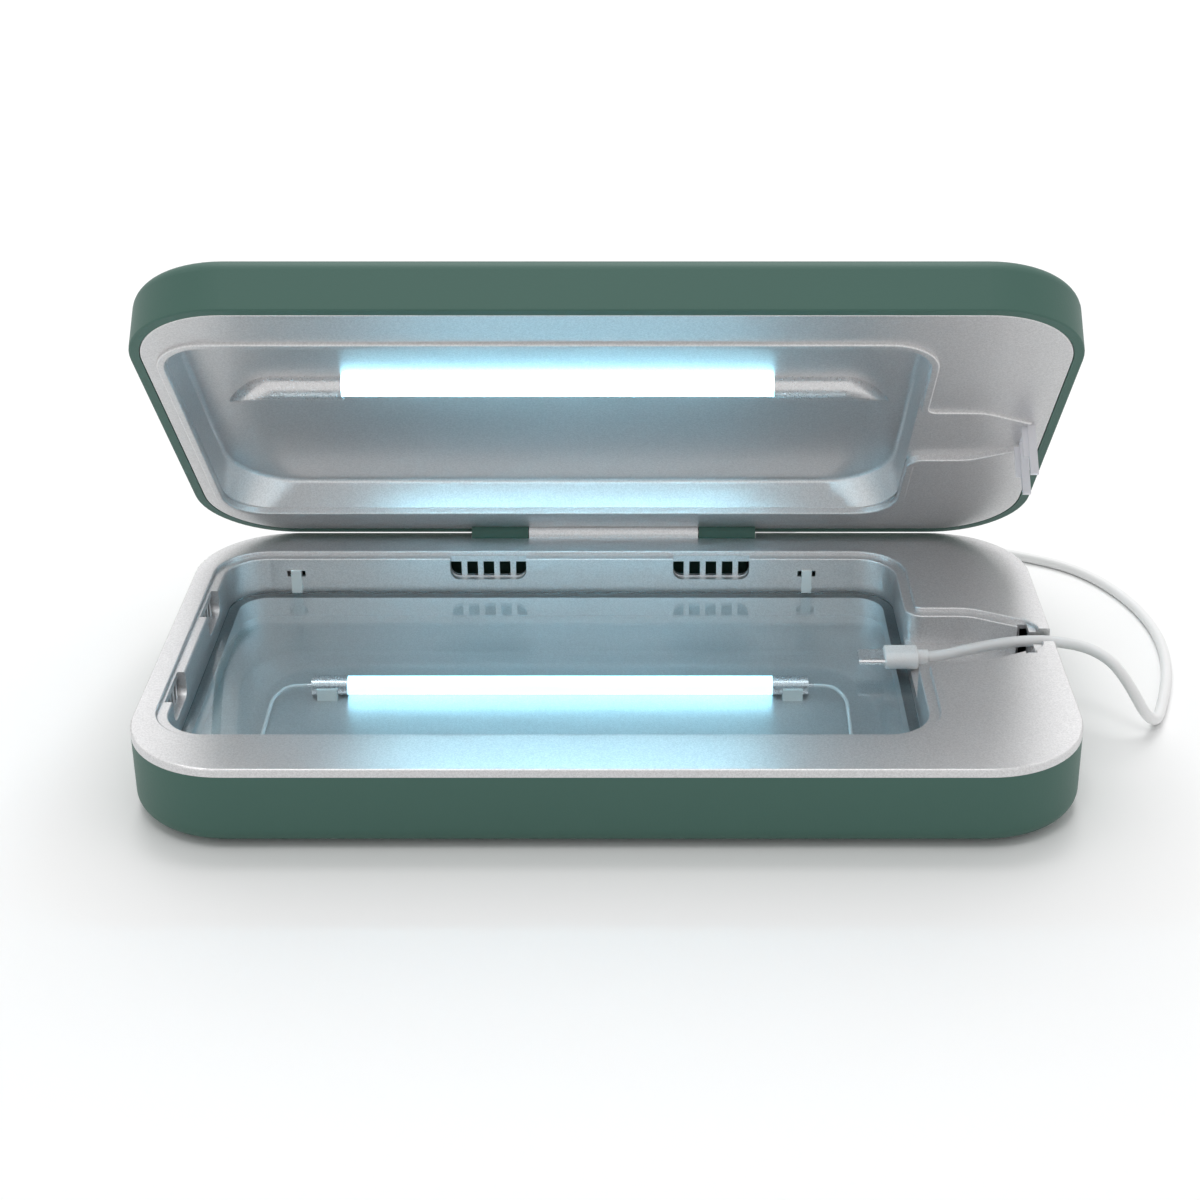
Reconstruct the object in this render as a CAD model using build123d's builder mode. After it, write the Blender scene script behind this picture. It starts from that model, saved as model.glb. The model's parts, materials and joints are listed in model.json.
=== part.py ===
"""Clamshell ultraviolet sanitizer box for phones, standing open, with its charging lead.

Millimetres. The origin is the centre of the surface the box stands on, +X runs to the cable
side, +Y to the hinge and +Z up. The lid is drawn on a plane of its own, lid_deck, on which
every sketch has the x and y that it has when the lid is shut.
"""

import os
from math import cos, pi, radians, sin, sqrt, tan

from build123d import *

os.makedirs("parts", exist_ok=True)

# ------------------------------------------------------------------ driving dimensions

# Case
case_width = 222.0
case_depth = 127.0
case_corner = 24.5
case_wall = 2.2
foot_stand = 1.5
shell_floor = 1.6
trough_clearance = 0.2  # between the shell's floor and the lamp trough over it
shell_bottom_edge = 4.0
lid_height = 14.0
lid_top = 2.0
lid_top_edge = 3.6
lid_opening = 47.6  # degrees from shut, as the box stands here

# Tray flange, chamber and cable channel
flange_thickness = 2.1
flange_left = 5.2
flange_right = 32.8
flange_front = 15.1
flange_back = 12.4
tray_wall = 1.2
tray_lip_depth = 2.0
chamber_corner = 13.0
ledge_width = 2.6
ledge_drop = 1.0
channel_y = 2.0
channel_width = 30.0
channel_throat_width = 17.0
channel_end_width = 10.4
channel_straight = 14.0  # from the chamber's side to where the channel narrows
channel_length = 29.6
channel_drop = 8.9
channel_bend_round = 14.0
channel_end_round = 4.0
channel_mouth_round = 2.0
notch_width = 6.8
notch_drop = 3.0
edge_round = 0.4

# Quartz plate, its seat and clips
quartz_thickness = 1.2
quartz_clearance = 0.4
seat_drop = 12.0
seat_width = 3.0
trough_room = 0.25  # under the lower lamp
trough_floor = 0.8
lead_hole_rise = 0.4  # of the lamp leads' holes above the trough's floor
clip_width = 2.7
clip_thickness = 0.9
clip_window = 4.9
clip_window_height = 1.7
clip_window_drop = 4.6
clip_head = 0.3  # how far a clip reaches above its window's top
clip_play = 0.2
clip_spread = 69.2
clip_shift = -2.9  # the clips' middle lies to the left of the chamber's centre

# Sound grilles
grille_width = 20.6
grille_spread = 30.2
grille_shift = 10.2  # their middle lies to the cable side of the chamber's centre
side_grille_width = 15.0
side_grille_spread = 22.3
side_grille_shift = -2.4
grille_top_drop = 2.7
grille_height = 4.2
grille_rib = 1.5
grille_recess = 2.0
grille_openings = 5
grille_sill = 0.3  # of the recess below its openings
grille_recess_round = 2.6
grille_round = 2.4

# Lid reflector
rim_width = 2.4
plate_clearance = 0.1
plate_thickness = 1.2
lip_height = 0.8
lip_clearance = 0.3
lip_width = 2.0
cavity_depth = 9.0
cavity_fillet = 1.2
ceiling_corner = 20.0
cavity_draft = 5.0  # degrees
reflector_wall = 1.0
lid_channel_depth = 1.0
pocket_depth = 2.0
pocket_wall = 0.8
pocket_margin = 1.0  # between the lamp and the pocket's front and rear walls
pocket_overlap = 0.5
cap_slot_margin = 10.5
cap_slot_overlap = 1.0
peg_radius = 1.6
peg_socket_radius = 3.0
peg_length = 6.0
peg_room = 0.2
peg_side_inset = 31.0
peg_front_inset = 8.0
peg_back_inset = 6.9
peg_middle_x = -13.0
peg_back_corner = (11.0, 19.5)  # from the cable side and the back
peg_front_corner = (9.0, 25.5)  # from the cable side and the front

# Lamps
lamp_radius = 2.4
lamp_exposed = 106.4
lamp_seat = 4.0  # glass inside each end cap
lamp_clearance = 0.1
cap_radius = 2.5
cap_gap = 0.5  # of bare glass between the light window and the cap
cap_length = 9.0
cap_pin_radius = 0.5
cap_pin_length = 1.5
neck_radius = 1.9
glass_bore = 1.4
lower_lamp_room = 0.35  # between the lower lamp and the quartz plate
upper_lamp_room = 0.2  # between the lid's lamp and its pocket's ceiling
upper_lamp_shift = -10.45  # of the lid's lamp from the chamber's middle
cowl_half_width = 4.4
cowl_room = 0.1  # between the lamp's cap and the inside of its cowl
cowl_wall = 0.6
cowl_straight = 17.0
cowl_taper = 13.4
cowl_sweep = 10.1  # how far back the taper would carry its middle line
cowl_steps = (0.0, 0.2, 0.4, 0.6, 0.8, 0.93)  # shares of the taper
holder_length = 5.0
holder_width = 7.0
holder_shift = 0.5  # of a holder's middle past its cap's middle
holder_room = 0.6
holder_grip = 0.4  # how far a holder reaches past the lamp's axis
lamp_shift = 1.1  # the lamps' middle lies to the cable side of the chamber's centre
lead_exit = 71.4  # from the lamps' middle to the hole a lamp lead leaves by

# Cable gate and its groove
gate_inset = 6.5  # from the cable side
gate_width = 13.2
gate_prong = 2.0
gate_thickness = 1.2
gate_reach = 13.0
gate_foot = 1.6
gate_fit = 0.05
gate_fin = 1.4
gate_fin_reach = 8.4
gate_fin_thickness = 0.5
groove_width = 2.4
groove_front = 3.0
groove_back = 0.9
groove_drop = 14.5
lip_cut_length = 9.0
lip_cut_shift = 3.2  # of the lip's cut past the gate

# Hinge
knuckle_radius = 3.7
centre_knuckle = 46.4
side_knuckle = 15.5
knuckle_gap = 0.25
relief_gap = 0.3
pin_radius = 1.6
pin_bore = 0.95
pin_length = 22.0
pin_end = 5.0  # from the side knuckle's outer end to the pin
bush_wall = 0.86
bush_length = 9.0
bush_clearance = 0.04
pin_room = 0.3  # round the pins between the centre knuckle's bushes
lead_room = 1.5  # bore of a side knuckle past its pin
lead_room_length = 3.5
lead_way_radius = 1.5
lead_way_x = 6.0
lid_way_x = 35.9
lead_joint_x = 21.0  # where the lid's part of the hinge lead begins
lead_joint_gap = 0.1

# Screws, bosses and feet
front_screw_inset = (16.0, 12.5)  # from the sides and the front
rear_screw_inset = (21.0, 9.5)  # from the sides and the back
boss_radius = 3.5
boss_top = 11.2
screw_radius = 1.3
screw_clearance = 0.15
screw_head_radius = 2.3
screw_head_height = 1.8
screw_seat = 5.0
screw_end = 16.0
screw_tip_room = 0.5
screw_slot = (2.6, 0.6)
screw_slot_depth = 1.0
foot_radius = 5.0
foot_seat_clearance = 0.2
foot_recess = 0.5
foot_chamfer = 0.5

# Boards and ports
board_height = 6.0  # underside of the boards above the surface
board_thickness = 1.6
board_gap = 0.5
board_post_radius = 2.6
board_screw_radius = 1.0
board_screw_clearance = 0.1
board_screw_length = 4.0
board_screw_head_radius = 1.9
board_screw_head_height = 1.2
board_screw_slot = (2.2, 0.4)
board_screw_slot_depth = 0.6
control_strip = (74.0, 10.4)  # along the back wall
control_strip_inset = (49.0, 7.9)  # of its middle from the cable side and the back
control_wing = (18.6, 41.0)  # along the cable side
control_wing_inset = (21.2, 33.5)  # of its middle from the cable side and the back
board_post_insets = ((82.6, 9.1), (17.0, 29.5), (25.0, 47.5))  # from the cable side and the back
chip = (7.0, 7.0, 1.2)
chip_place = (2.2, -5.0)  # this and the next places are from the wing's middle
choke = (6.0, 6.0, 3.0)
choke_place = (2.7, 13.5)
choke_round = 0.8
supply_socket = (6.0, 3.6, 3.0)
supply_socket_place = (0.2, -18.0)
sensor_socket = (3.6, 3.6, 3.0)
sensor_socket_place = (7.2, -18.0)
smoother_radius = 2.6
smoother_height = 3.6
smoother_places = ((-5.2, -4.0), (-5.2, 3.0))
hinge_socket = (4.4, 4.4, 3.0)
hinge_socket_place = (-29.0, 2.6)  # from the strip's middle
indicator_board_size = 22.0
indicator_board_round = 2.0
indicator_rise = 7.5
indicator_thickness = 1.2
indicator_post_offsets = ((-3.5, -9.0), (5.0, 9.0))  # from the lens
light = (3.0, 3.0, 1.2)
lamp_socket = (4.0, 9.6, 2.6)
lamp_socket_offset = (-8.5, -2.0)  # from the lens
lid_socket = (4.4, 4.0, 2.6)
lid_socket_offset = (-5.0, 8.9)  # from the lens
indicator_post_radius = 2.2
inverter_height = 8.0
inverter_inset = 9.0  # of its middle from the front
inverter_size = (60.0, 10.6)
inverter_post_spread = 21.0
transformer = (14.0, 9.4, 6.0)
transformer_round = 1.0
lamp_output = (4.0, 8.6, 3.0)
lamp_output_inset = 2.0  # of its middle from the board's end
ballast_radius = 2.4
ballast_height = 4.6
ballast_spread = 12.0
usb_a_inset = 53.0  # of each port's middle from the cable side
usb_c_inset = 36.0
jack_inset = 70.0
usb_a_size = (13.1, 12.4, 5.7)
usb_c_size = (9.0, 10.0, 3.3)
jack_radius = 3.6
jack_bore = 2.8
jack_pin = 1.0
jack_length = 11.0
jack_back = 2.0  # behind its bore
jack_body_margin = 0.7  # of its block past its barrel
usb_a_tongue = (10.8, 1.5)
usb_a_tongue_rise = 1.0
usb_a_tongue_setback = 1.0
usb_c_tongue = (6.7, 0.7)
usb_c_tongue_setback = 0.8
jack_pin_setback = 1.0
port_metal = 0.3
port_inset = 0.3  # mouth of each port behind the back face
port_fit = 0.15

# Indicator, magnet and sensor
lens_inset = 18.0  # from the cable side
lens_y = 2.0
lens_radius = 3.0
lens_fit = 0.05
lens_flange_width = 1.0
lens_flange_thickness = 0.8
magnet_size = (10.0, 4.0, 3.0)
magnet_inset = (12.0, 33.5)  # from the cable side and the front
sensor_size = (12.0, 3.4, 3.0)
sensor_round = 0.6

# Charging lead
cord_diameter = 2.8
cord_gap = 0.2  # between the cord's ends and the plugs' boots
coil_centre = (14.0, 87.0)
coil_radius = 15.5  # to the middle of its turns
coil_turns = 7  # two on the floor, three on them and two on top
coil_half_width = 1.5 * cord_diameter
coil_height = (1 + sqrt(3)) * cord_diameter
wire_diameter = 0.9
hinge_lead_diameter = 1.0
plug_size = (8.4, 7.7, 4.5)
plug_x = 69.0
plug_y = 2.0
plug_rest = 0.35
boot_length = 2.6
boot_radius = 1.9
tongue_size = (6.6, 6.7, 1.5)
usb_plug_size = (15.4, 17.0, 7.6)
usb_plug_metal = (12.0, 11.6, 4.5)
usb_plug_boot = 6.7
usb_plug_gap = 0.8
usb_plug_tongue_z = -1.0
usb_plug_tongue_thickness = 1.8
plug_seat = 3.0  # how deep a plug's metal sits in its body
plug_edge = 0.5
tongue_edge = 0.3
usb_plug_round = 2.4
usb_plug_end_round = 1.5
usb_plug_boot_margin = 0.6  # of its boot past the slim plug's
usb_plug_boot_taper = 4.0  # degrees
usb_plug_tongue_setback = 0.4

# ------------------------------------------------------------------ derived places

half_width = case_width / 2
half_depth = case_depth / 2
shell_inside = foot_stand + shell_floor
lower_lamp_drop = seat_drop + lower_lamp_room + lamp_radius
trough_drop = lower_lamp_drop + lamp_radius + trough_room
mating_height = shell_inside + trough_clearance + trough_floor + trough_drop
chamber_left = flange_left - half_width
chamber_right = half_width - flange_right
chamber_front = flange_front - half_depth
chamber_back = half_depth - flange_back
chamber_x = (chamber_left + chamber_right) / 2
chamber_y = (chamber_front + chamber_back) / 2
lamp_x = chamber_x + lamp_shift
chamber_width = chamber_right - chamber_left
chamber_depth = chamber_back - chamber_front
shell_top = mating_height - flange_thickness
quartz_top = mating_height - seat_drop + quartz_thickness
channel_floor = mating_height - channel_drop
channel_end_x = chamber_right + channel_length
inner_wall_y = chamber_back - ledge_width
inner_front_y = chamber_front + ledge_width
inner_left_x = chamber_left + ledge_width
lamp_end = lamp_exposed / 2
cap_start = lamp_end + cap_gap
upper_lamp_y = chamber_y + upper_lamp_shift
upper_lamp_rise = cavity_depth + pocket_depth - upper_lamp_room - lamp_radius
cowl_height = cavity_depth - upper_lamp_rise + cap_radius + cowl_room + cowl_wall
gate_x = half_width - gate_inset
bush_radius = pin_radius + bush_clearance + bush_wall
knuckle_bore = pin_radius + pin_room
centre_half = centre_knuckle / 2
side_start = centre_half + knuckle_gap
side_end = side_start + side_knuckle
front_screw = (half_width - front_screw_inset[0], front_screw_inset[1] - half_depth)
rear_screw = (half_width - rear_screw_inset[0], half_depth - rear_screw_inset[1])
strip_x = half_width - control_strip_inset[0]
strip_y = half_depth - control_strip_inset[1]
wing_x = half_width - control_wing_inset[0]
wing_y = half_depth - control_wing_inset[1]
inverter_y = inverter_inset - half_depth
usb_a_x = half_width - usb_a_inset
usb_c_x = half_width - usb_c_inset
jack_x = half_width - jack_inset
lens_x = half_width - lens_inset
magnet_place = (half_width - magnet_inset[0], magnet_inset[1] - half_depth)
board_top = board_height + board_thickness
usb_a_z = board_top + usb_a_size[2] / 2
usb_c_z = board_top + usb_c_size[2] / 2
jack_z = board_top + jack_radius
port_mouth = half_depth - port_inset
plug_z = channel_floor + plug_rest + plug_size[2] / 2

deck = Plane.XY.offset(mating_height)
turn = radians(lid_opening)
lid_deck = Plane(
    origin=(
        0,
        half_depth * (1 - cos(turn)),
        mating_height + half_depth * sin(turn),
    ),
    x_dir=(1, 0, 0),
    z_dir=(0, sin(turn), cos(turn)),
)
lead_slope = Plane(
    origin=(lead_way_x, half_depth, mating_height), x_dir=(1, 0, 0), z_dir=(0, 1, 1)
)


def case_outline(plane, inset=0.0):
    """The case seen from above, drawn smaller by inset."""
    with BuildSketch(plane) as outline:
        RectangleRounded(case_width - 2 * inset, case_depth - 2 * inset, case_corner - inset)
    return outline.sketch


def chamber_outline(plane, inset=0.0):
    """The phone chamber alone."""
    with BuildSketch(plane) as outline:
        with Locations((chamber_x, chamber_y)):
            RectangleRounded(
                chamber_width - 2 * inset, chamber_depth - 2 * inset, chamber_corner - inset
            )
    return outline.sketch


def cavity_outline(plane, inset=0.0):
    """The chamber and the cable channel as one outline."""
    mouth_x = chamber_right - chamber_corner / 2
    narrow_x = chamber_right + channel_straight
    throat_x = channel_end_x - ledge_width
    with BuildSketch(plane) as outline:
        with BuildLine():
            Polyline(
                (mouth_x, channel_y + channel_width / 2),
                (narrow_x, channel_y + channel_width / 2),
                (throat_x, channel_y + channel_throat_width / 2),
                (channel_end_x, channel_y + channel_end_width / 2),
                (channel_end_x, channel_y - channel_end_width / 2),
                (throat_x, channel_y - channel_throat_width / 2),
                (narrow_x, channel_y - channel_width / 2),
                (mouth_x, channel_y - channel_width / 2),
                close=True,
            )
        make_face()
        bends = outline.vertices().filter_by_position(Axis.X, narrow_x - 0.1, narrow_x + 0.1)
        fillet(bends, channel_bend_round)
        ends = outline.vertices().filter_by_position(Axis.X, throat_x - 0.1, channel_end_x)
        fillet(ends, channel_end_round)
        with Locations((chamber_x, chamber_y)):
            RectangleRounded(chamber_width, chamber_depth, chamber_corner)
        joints = outline.vertices().filter_by_position(
            Axis.X, chamber_right - 0.1, chamber_right + 0.1
        ).filter_by_position(
            Axis.Y, channel_y - channel_width / 2 - 0.1, channel_y + channel_width / 2 + 0.1
        )
        fillet(joints, channel_mouth_round)
        if inset:
            offset(amount=-inset, mode=Mode.REPLACE)
    return outline.sketch


def hinge_cylinder(radius, start, length):
    """A round about the hinge axis, from x = start."""
    with BuildSketch(Plane.YZ.offset(start)) as outline:
        with Locations((half_depth, mating_height)):
            Circle(radius)
    return Solid.extrude(outline.sketch.face(), Vector(length, 0, 0))


def block(plane, x, y, width, depth, height, radius=0.0):
    """A block standing on a plane, centred on x and y there."""
    with BuildSketch(plane) as outline:
        with Locations((x, y)):
            if radius:
                RectangleRounded(width, depth, radius)
            else:
                Rectangle(width, depth)
    return Solid.extrude(outline.sketch.face(), plane.z_dir * height)


def lead_path(points):
    """Straight runs joined by arcs as large as their runs allow."""
    radii = []
    for before, corner, after in zip(points, points[1:], points[2:]):
        run_in = Vector(*corner) - Vector(*before)
        run_out = Vector(*after) - Vector(*corner)
        half_turn = radians(run_in.get_angle(run_out)) / 2
        radii.append(0.45 * min(run_in.length, run_out.length) / tan(half_turn))
    with BuildLine() as path:
        FilletPolyline(*points, radius=radii)
    return path.wire(), radii


def lead_solid(points, diameter):
    """A round lead along its path."""
    path, _ = lead_path(points)
    with BuildPart() as lead:
        with BuildSketch(Plane(origin=path @ 0, z_dir=path % 0)):
            Circle(diameter / 2)
        sweep(path=path)
    return lead.part


def lid_point(x, y, rise):
    """A point given as it lies in the shut lid, rise above the mating plane."""
    return tuple(lid_deck.from_local_coords((x, y, rise)))


def cross_outline(plane, places, slot):
    """The cross in a screw's head, at each place."""
    with BuildSketch(plane) as outline:
        with Locations(*places):
            Rectangle(slot[0], slot[1])
            Rectangle(slot[1], slot[0])
    return outline.sketch


def save(name, part):
    """Label a finished piece and write it."""
    part.label = name
    export_step(part, f"parts/{name}.step")


# ------------------------------------------------------------------ base shell

screw_places = [
    (side * x, y) for x, y in (front_screw, rear_screw) for side in (-1, 1)
]
board_posts = [(half_width - x, half_depth - y) for x, y in board_post_insets]
inverter_posts = [(lamp_x + side * inverter_post_spread, inverter_y) for side in (-1, 1)]

with BuildPart() as base_shell:
    extrude(case_outline(Plane.XY.offset(foot_stand)), amount=shell_top - foot_stand)
    fillet(base_shell.edges().group_by(Axis.Z)[0], shell_bottom_edge)
    extrude(
        case_outline(Plane.XY.offset(shell_inside), case_wall),
        amount=mating_height,
        mode=Mode.SUBTRACT,
    )
    # bosses for the case screws and posts for the boards
    with BuildSketch(Plane.XY.offset(shell_inside)):
        with Locations(*screw_places):
            Circle(boss_radius)
    extrude(amount=boss_top - shell_inside)
    for posts, top in ((board_posts, board_height), (inverter_posts, inverter_height)):
        with BuildSketch(Plane.XY.offset(shell_inside)):
            with Locations(*posts):
                Circle(board_post_radius)
                Circle(board_screw_radius, mode=Mode.SUBTRACT)
        extrude(amount=top - shell_inside)
    with BuildSketch(Plane.XY.offset(foot_stand)):
        with Locations(*screw_places):
            Circle(foot_radius + foot_seat_clearance)
    extrude(amount=foot_recess, mode=Mode.SUBTRACT)
    with BuildSketch(Plane.XY.offset(foot_stand)):
        with Locations(*screw_places):
            Circle(screw_head_radius + screw_clearance)
    extrude(amount=screw_seat - foot_stand, mode=Mode.SUBTRACT)
    with BuildSketch(Plane.XY.offset(foot_stand)):
        with Locations(*screw_places):
            Circle(screw_radius + screw_clearance)
    extrude(amount=boss_top - foot_stand, mode=Mode.SUBTRACT)
    # port cut-outs in the back wall
    with BuildSketch(Plane.XZ.offset(-half_depth)):
        with Locations((usb_a_x, usb_a_z)):
            Rectangle(usb_a_size[0] + 2 * port_fit, usb_a_size[2] + 2 * port_fit)
        with Locations((usb_c_x, usb_c_z)):
            RectangleRounded(
                usb_c_size[0] + 2 * port_fit, usb_c_size[2] + 2 * port_fit, usb_c_size[2] / 2
            )
        with Locations((jack_x, jack_z)):
            Circle(jack_radius + port_fit)
    extrude(amount=2 * case_wall, both=True, mode=Mode.SUBTRACT)
    # notch for the lead and room for the hinge
    add(
        block(
            deck.offset(-notch_drop),
            half_width,
            channel_y,
            4 * case_wall,
            notch_width,
            2 * notch_drop,
        ),
        mode=Mode.SUBTRACT,
    )
    for start in (-side_end, side_start):
        add(
            hinge_cylinder(
                knuckle_radius + relief_gap, start - knuckle_gap, side_knuckle + 2 * knuckle_gap
            ),
            mode=Mode.SUBTRACT,
        )
    add(hinge_cylinder(knuckle_radius, -centre_half, centre_knuckle), mode=Mode.SUBTRACT)
    with BuildSketch(lead_slope):
        Circle(lead_way_radius)
    extrude(amount=-2 * knuckle_radius, mode=Mode.SUBTRACT)
save("base_shell", base_shell.part)

# ------------------------------------------------------------------ base tray

grille_places = [chamber_x + grille_shift + side * grille_spread for side in (-1, 1)]
side_grille_places = [
    chamber_y + side_grille_shift + side * side_grille_spread for side in (-1, 1)
]
clip_places = [chamber_x + clip_shift + side * clip_spread for side in (-1, 1)]
grille_bottom_drop = grille_top_drop + grille_height
recess_height = grille_bottom_drop + grille_sill


def grille_recess_outline(plane, centre, width):
    """A recess with round lower corners, open to the top."""
    with BuildSketch(plane) as outline:
        with Locations((centre, -recess_height / 2)):
            Rectangle(width, recess_height)
        fillet(outline.vertices().sort_by(Axis.Y)[0:2], grille_recess_round)
    return outline.sketch


def grille_slots(plane, centre, width):
    """Upright openings with ribs between, cut to the shape of the recess."""
    pitch = (width + grille_rib) / grille_openings
    middle_drop = grille_top_drop + grille_height / 2
    with BuildSketch(plane) as outline:
        with Locations((centre, -middle_drop)):
            Rectangle(width, grille_height)
        fillet(outline.vertices().sort_by(Axis.Y)[0:2], grille_round)
        for i in range(grille_openings - 1):
            rib_x = centre + pitch * (i - (grille_openings - 2) / 2)
            with Locations((rib_x, -middle_drop)):
                Rectangle(grille_rib, grille_height + 1, mode=Mode.SUBTRACT)
    return outline.sketch


back_face = Plane(origin=(0, inner_wall_y, mating_height), x_dir=(1, 0, 0), z_dir=(0, -1, 0))
left_face = Plane(origin=(inner_left_x, 0, mating_height), x_dir=(0, 1, 0), z_dir=(1, 0, 0))

with BuildPart() as base_tray:
    extrude(case_outline(deck), amount=-flange_thickness)
    fillet(base_tray.edges().group_by(Axis.Z)[-1], edge_round)
    # locating lip inside the shell
    extrude(
        case_outline(deck.offset(-flange_thickness), case_wall + plate_clearance),
        amount=-tray_lip_depth,
    )
    extrude(
        case_outline(deck.offset(-flange_thickness), case_wall + plate_clearance + tray_wall),
        amount=-tray_lip_depth,
        mode=Mode.SUBTRACT,
    )
    # outside of the channel, the chamber and the lamp trough
    extrude(
        cavity_outline(deck.offset(-flange_thickness), ledge_width - tray_wall),
        amount=-(channel_drop + tray_wall - flange_thickness),
    )
    extrude(
        chamber_outline(deck.offset(-flange_thickness), ledge_width - tray_wall),
        amount=-(seat_drop + tray_wall - flange_thickness),
    )
    extrude(
        chamber_outline(deck.offset(-seat_drop), ledge_width + seat_width - tray_wall),
        amount=-(trough_drop + trough_floor - seat_drop),
    )
    # thicker wall behind each grille
    for place in grille_places:
        add(
            block(
                deck.offset(-recess_height - tray_wall),
                place,
                inner_wall_y + grille_recess,
                grille_width + 2 * tray_wall,
                2 * tray_wall,
                recess_height,
            )
        )
    for place in side_grille_places:
        add(
            block(
                deck.offset(-recess_height - tray_wall),
                inner_left_x - grille_recess,
                place,
                2 * tray_wall,
                side_grille_width + 2 * tray_wall,
                recess_height,
            )
        )
    # pillars that take the case screws
    with BuildSketch(Plane.XY.offset(boss_top)):
        with Locations(*screw_places):
            Circle(boss_radius)
    extrude(amount=shell_top - boss_top)
    with BuildSketch(Plane.XY.offset(boss_top)):
        with Locations(*screw_places):
            Circle(screw_radius)
    extrude(amount=screw_end - boss_top, mode=Mode.SUBTRACT)
    # inside: ledge, channel and chamber, lamp trough
    extrude(cavity_outline(deck), amount=-ledge_drop, mode=Mode.SUBTRACT)
    deck_face = base_tray.faces().filter_by(Axis.Z).sort_by(Axis.Z)[-1]
    fillet(deck_face.inner_wires().edges(), edge_round)
    extrude(
        cavity_outline(deck.offset(-ledge_drop), ledge_width),
        amount=-(channel_drop - ledge_drop),
        mode=Mode.SUBTRACT,
    )
    ledge_face = base_tray.faces().filter_by_position(
        Axis.Z, mating_height - ledge_drop - 0.01, mating_height - ledge_drop + 0.01
    )
    fillet(ledge_face[0].inner_wires().edges(), edge_round)
    extrude(
        chamber_outline(deck.offset(-channel_drop), ledge_width),
        amount=-(seat_drop - channel_drop),
        mode=Mode.SUBTRACT,
    )
    extrude(
        chamber_outline(deck.offset(-seat_drop), ledge_width + seat_width),
        amount=-(trough_drop - seat_drop),
        mode=Mode.SUBTRACT,
    )
    # grilles: a recess through the ledge, then the openings
    for place in grille_places:
        extrude(
            grille_recess_outline(back_face, place, grille_width),
            amount=-grille_recess,
            mode=Mode.SUBTRACT,
        )
        extrude(
            grille_slots(back_face, place, grille_width),
            amount=-(grille_recess + 2 * tray_wall),
            mode=Mode.SUBTRACT,
        )
    for place in side_grille_places:
        extrude(
            grille_recess_outline(left_face, place, side_grille_width),
            amount=-grille_recess,
            mode=Mode.SUBTRACT,
        )
        extrude(
            grille_slots(left_face, place, side_grille_width),
            amount=-(grille_recess + 2 * tray_wall),
            mode=Mode.SUBTRACT,
        )
    # windows that hold the quartz clips, in the back and front walls
    for place in clip_places:
        add(
            block(
                deck.offset(-clip_window_drop - clip_window_height),
                place,
                chamber_y,
                clip_window,
                chamber_depth,
                clip_window_height,
            ),
            mode=Mode.SUBTRACT,
        )
    # lamp leads' holes through the trough's front wall
    for side in (-1, 1):
        add(
            block(
                deck.offset(-trough_drop + lead_hole_rise),
                lamp_x + side * lead_exit,
                chamber_front,
                3 * wire_diameter,
                4 * (ledge_width + seat_width),
                3 * wire_diameter,
            ),
            mode=Mode.SUBTRACT,
        )
    # groove for the cable gate and notch for the lead
    add(
        block(
            deck.offset(-groove_drop),
            gate_x,
            channel_y + (groove_back - groove_front) / 2,
            groove_width,
            gate_width + groove_front + groove_back,
            2 * groove_drop,
        ),
        mode=Mode.SUBTRACT,
    )
    add(
        block(
            deck.offset(-notch_drop),
            (gate_x + half_width) / 2,
            channel_y,
            half_width - gate_x + 4,
            notch_width,
            2 * notch_drop,
        ),
        mode=Mode.SUBTRACT,
    )
    # hinge: room for the lid's knuckles, the centre knuckle and its bores
    for start in (-side_end, side_start):
        add(
            hinge_cylinder(
                knuckle_radius + relief_gap, start - knuckle_gap, side_knuckle + 2 * knuckle_gap
            ),
            mode=Mode.SUBTRACT,
        )
    add(hinge_cylinder(knuckle_radius, -centre_half, centre_knuckle))
    add(hinge_cylinder(knuckle_bore, -centre_half, centre_knuckle), mode=Mode.SUBTRACT)
    for start in (-centre_half, centre_half - bush_length):
        add(hinge_cylinder(bush_radius, start, bush_length), mode=Mode.SUBTRACT)
    # way for the lid's lead from the case into the knuckle
    with BuildSketch(lead_slope):
        Circle(lead_way_radius)
    extrude(amount=-2 * knuckle_radius, mode=Mode.SUBTRACT)
save("base_tray", base_tray.part)

# ------------------------------------------------------------------ quartz plate and clips

with BuildPart() as quartz_plate:
    extrude(
        chamber_outline(deck.offset(-seat_drop), ledge_width + quartz_clearance),
        amount=quartz_thickness,
    )
save("quartz_plate", quartz_plate.part)

with BuildPart() as quartz_clips:
    leg_top = mating_height - clip_window_drop + clip_head
    barb_height = clip_window_height - clip_play
    for place in clip_places:
        for wall_y, inward in ((inner_wall_y, -1), (inner_front_y, 1)):
            with BuildSketch(Plane.XY.offset(quartz_top)):
                with Locations((place, wall_y + inward * clip_thickness / 2)):
                    Rectangle(clip_width, clip_thickness)
            extrude(amount=leg_top - quartz_top)
            with BuildSketch(Plane.XY.offset(mating_height - clip_window_drop - barb_height)):
                with Locations((place, wall_y - inward * tray_wall / 2)):
                    Rectangle(clip_width, tray_wall)
            extrude(amount=barb_height)
save("quartz_clips", quartz_clips.part)

# ------------------------------------------------------------------ lamps

lower_lamp_z = mating_height - lower_lamp_drop
lower_middle = Plane(origin=(lamp_x, chamber_y, lower_lamp_z), x_dir=(0, 1, 0), z_dir=(1, 0, 0))
upper_middle = Plane(
    origin=lid_point(lamp_x, upper_lamp_y, upper_lamp_rise),
    x_dir=lid_deck.y_dir,
    z_dir=(1, 0, 0),
)
holder_x = cap_start + cap_length / 2 + holder_shift


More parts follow.
